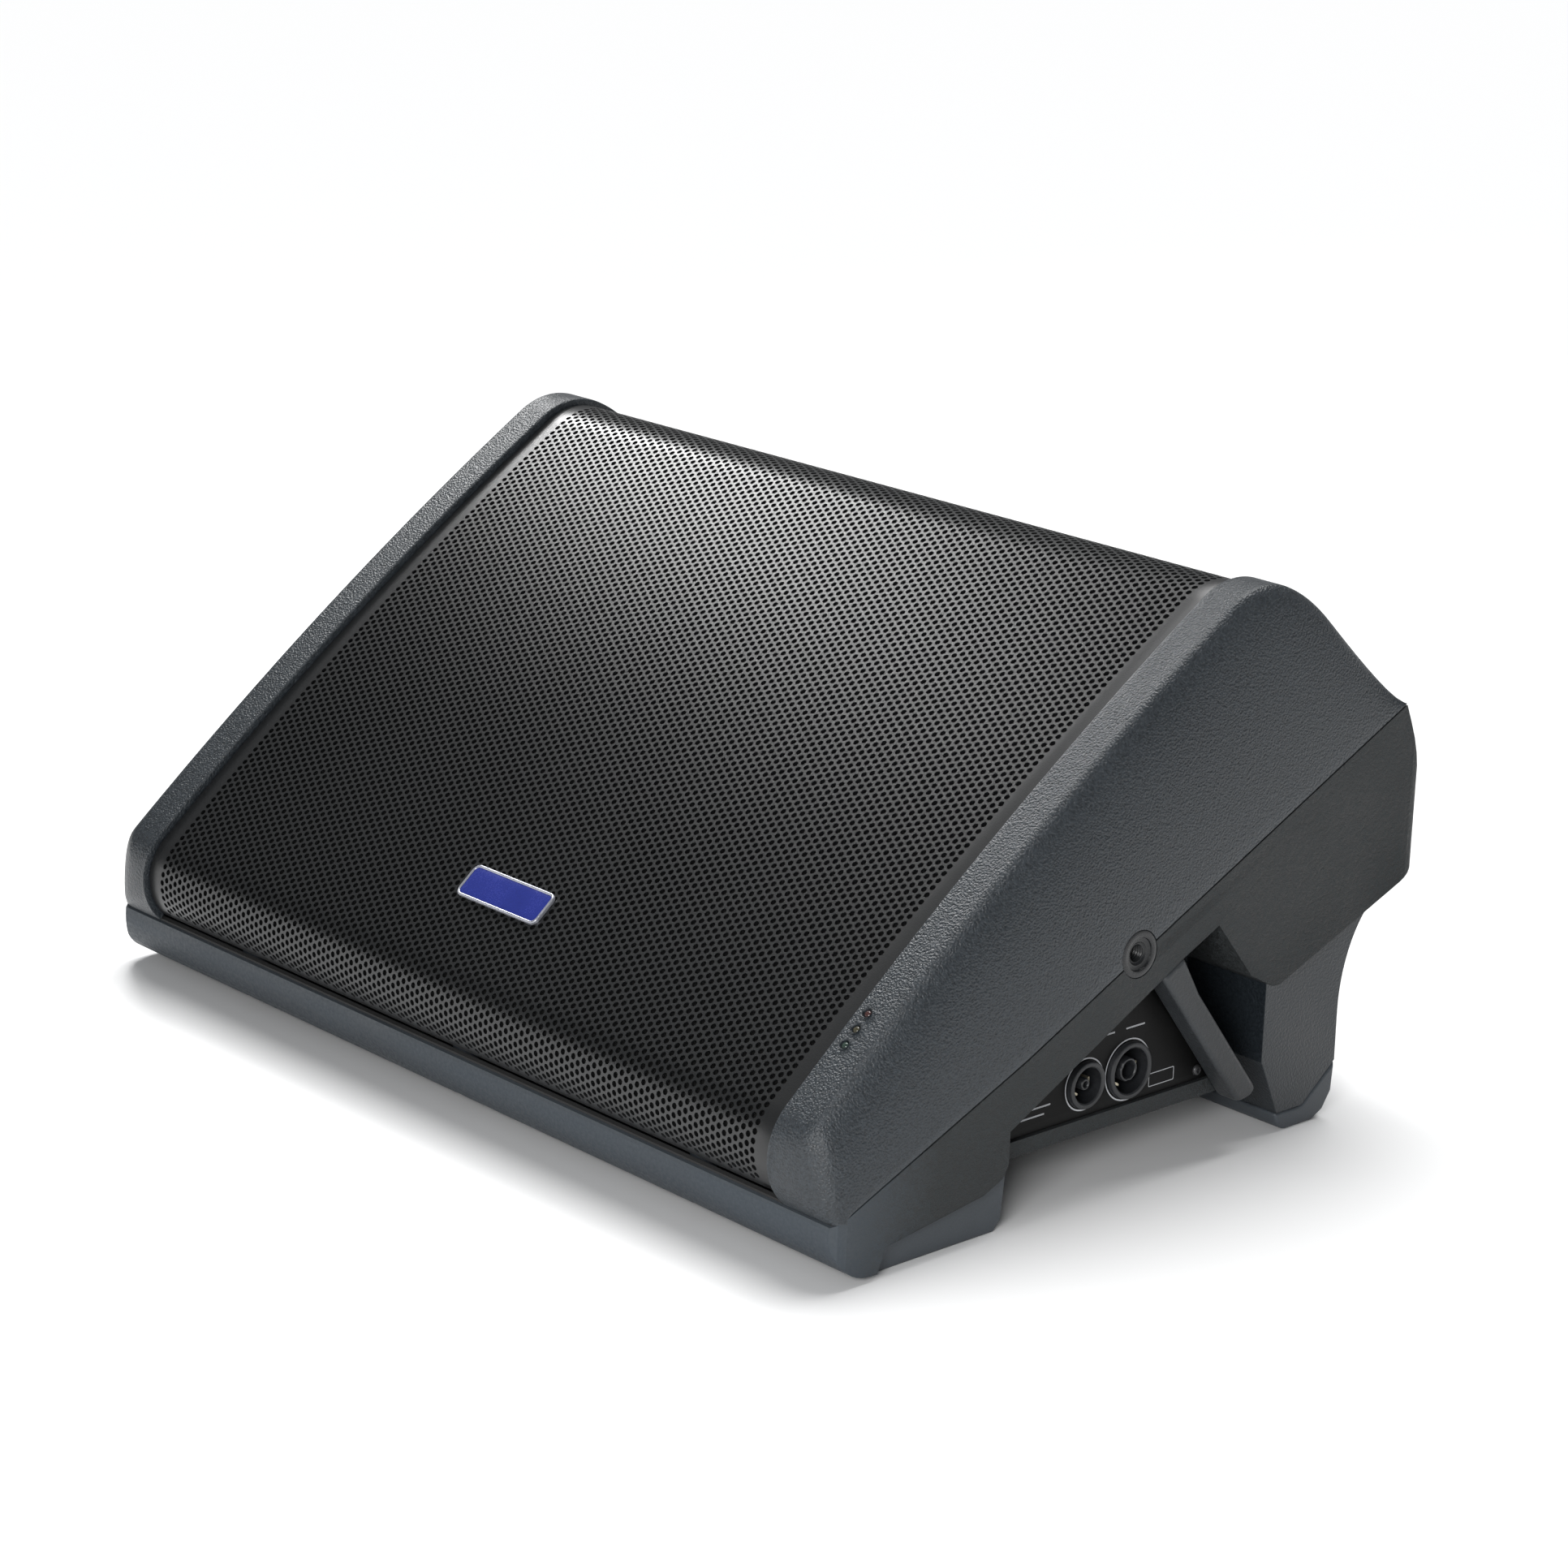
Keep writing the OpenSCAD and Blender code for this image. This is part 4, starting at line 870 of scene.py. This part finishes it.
# ---------------------------------------------------------------- floor, light, camera
def floor():
    me = bpy.data.meshes.new("floor")
    r = 25.0
    me.from_pydata([(-r, -r, 0), (r, -r, 0), (r, r, 0), (-r, r, 0)], [], [(0, 1, 2, 3)])
    ob = bpy.data.objects.new("floor", me)
    bpy.context.scene.collection.objects.link(ob)
    mat = bpy.data.materials.new("floor")
    mat.use_nodes = True
    bsdf = mat.node_tree.nodes["Principled BSDF"]
    bsdf.inputs["Base Color"].default_value = (0.9, 0.9, 0.9, 1)
    bsdf.inputs["Roughness"].default_value = 0.9
    bsdf.inputs["Specular IOR Level"].default_value = 0.1
    me.materials.append(mat)


def area(name, loc, target, size, power):
    light = bpy.data.lights.new(name, "AREA")
    light.shape, light.size, light.size_y, light.energy = "RECTANGLE", size[0], size[1], power
    ob = bpy.data.objects.new(name, light)
    bpy.context.scene.collection.objects.link(ob)
    ob.location = loc
    ob.rotation_euler = (Vector(target) - Vector(loc)).to_track_quat("-Z", "Y").to_euler()


def sky():
    world = bpy.data.worlds.new("world")
    world.use_nodes = True
    background = world.node_tree.nodes["Background"]
    background.inputs["Color"].default_value = (0.96, 0.98, 1.0, 1)
    background.inputs["Strength"].default_value = 0.20
    bpy.context.scene.world = world
    sun = bpy.data.lights.new("sky", "SUN")
    sun.energy, sun.angle = 3.1, math.radians(45)
    ob = bpy.data.objects.new("sky", sun)
    bpy.context.scene.collection.objects.link(ob)
    ob.rotation_euler = (math.radians(-18), math.radians(-12), 0)


def camera(azimuth, elevation, roll, distance, target):
    """A camera that looks at the target, in degrees and metres."""
    az, el, roll = math.radians(azimuth), math.radians(elevation), math.radians(roll)
    forward = Vector((-math.sin(az) * math.cos(el), math.cos(az) * math.cos(el), -math.sin(el)))
    level = Vector((math.cos(az), math.sin(az), 0))
    upright = level.cross(forward)
    right = math.cos(roll) * level + math.sin(roll) * upright
    up = -math.sin(roll) * level + math.cos(roll) * upright
    cam = bpy.data.cameras.new("camera")
    cam.sensor_width, cam.lens = 36, 96.21
    cam.clip_start, cam.clip_end = 0.05, 50
    ob = bpy.data.objects.new("camera", cam)
    bpy.context.scene.collection.objects.link(ob)
    turn = Matrix((right, up, -forward)).transposed().to_4x4()
    ob.matrix_world = Matrix.Translation(Vector(target) - forward * distance) @ turn
    bpy.context.scene.camera = ob


floor()
area("upper_left", (-1.10, 0.30, 1.05), (-0.10, 0.09, 0.26), (0.30, 0.35), 9)
area("low_left", (-1.2, -1.6, 0.16), (-0.1, -0.18, 0.04), (1.4, 0.22), 2.6)
area("front_right", (0.95, -1.15, 0.55), (0.28, -0.12, 0.08), (0.5, 0.4), 12)
sky()
camera(47.23, 17.09, 1.74, 2.19811, (0, 0.0276, 0.12971))
bpy.context.scene.view_settings.view_transform = "Standard"
bpy.context.scene.view_settings.look = "None"
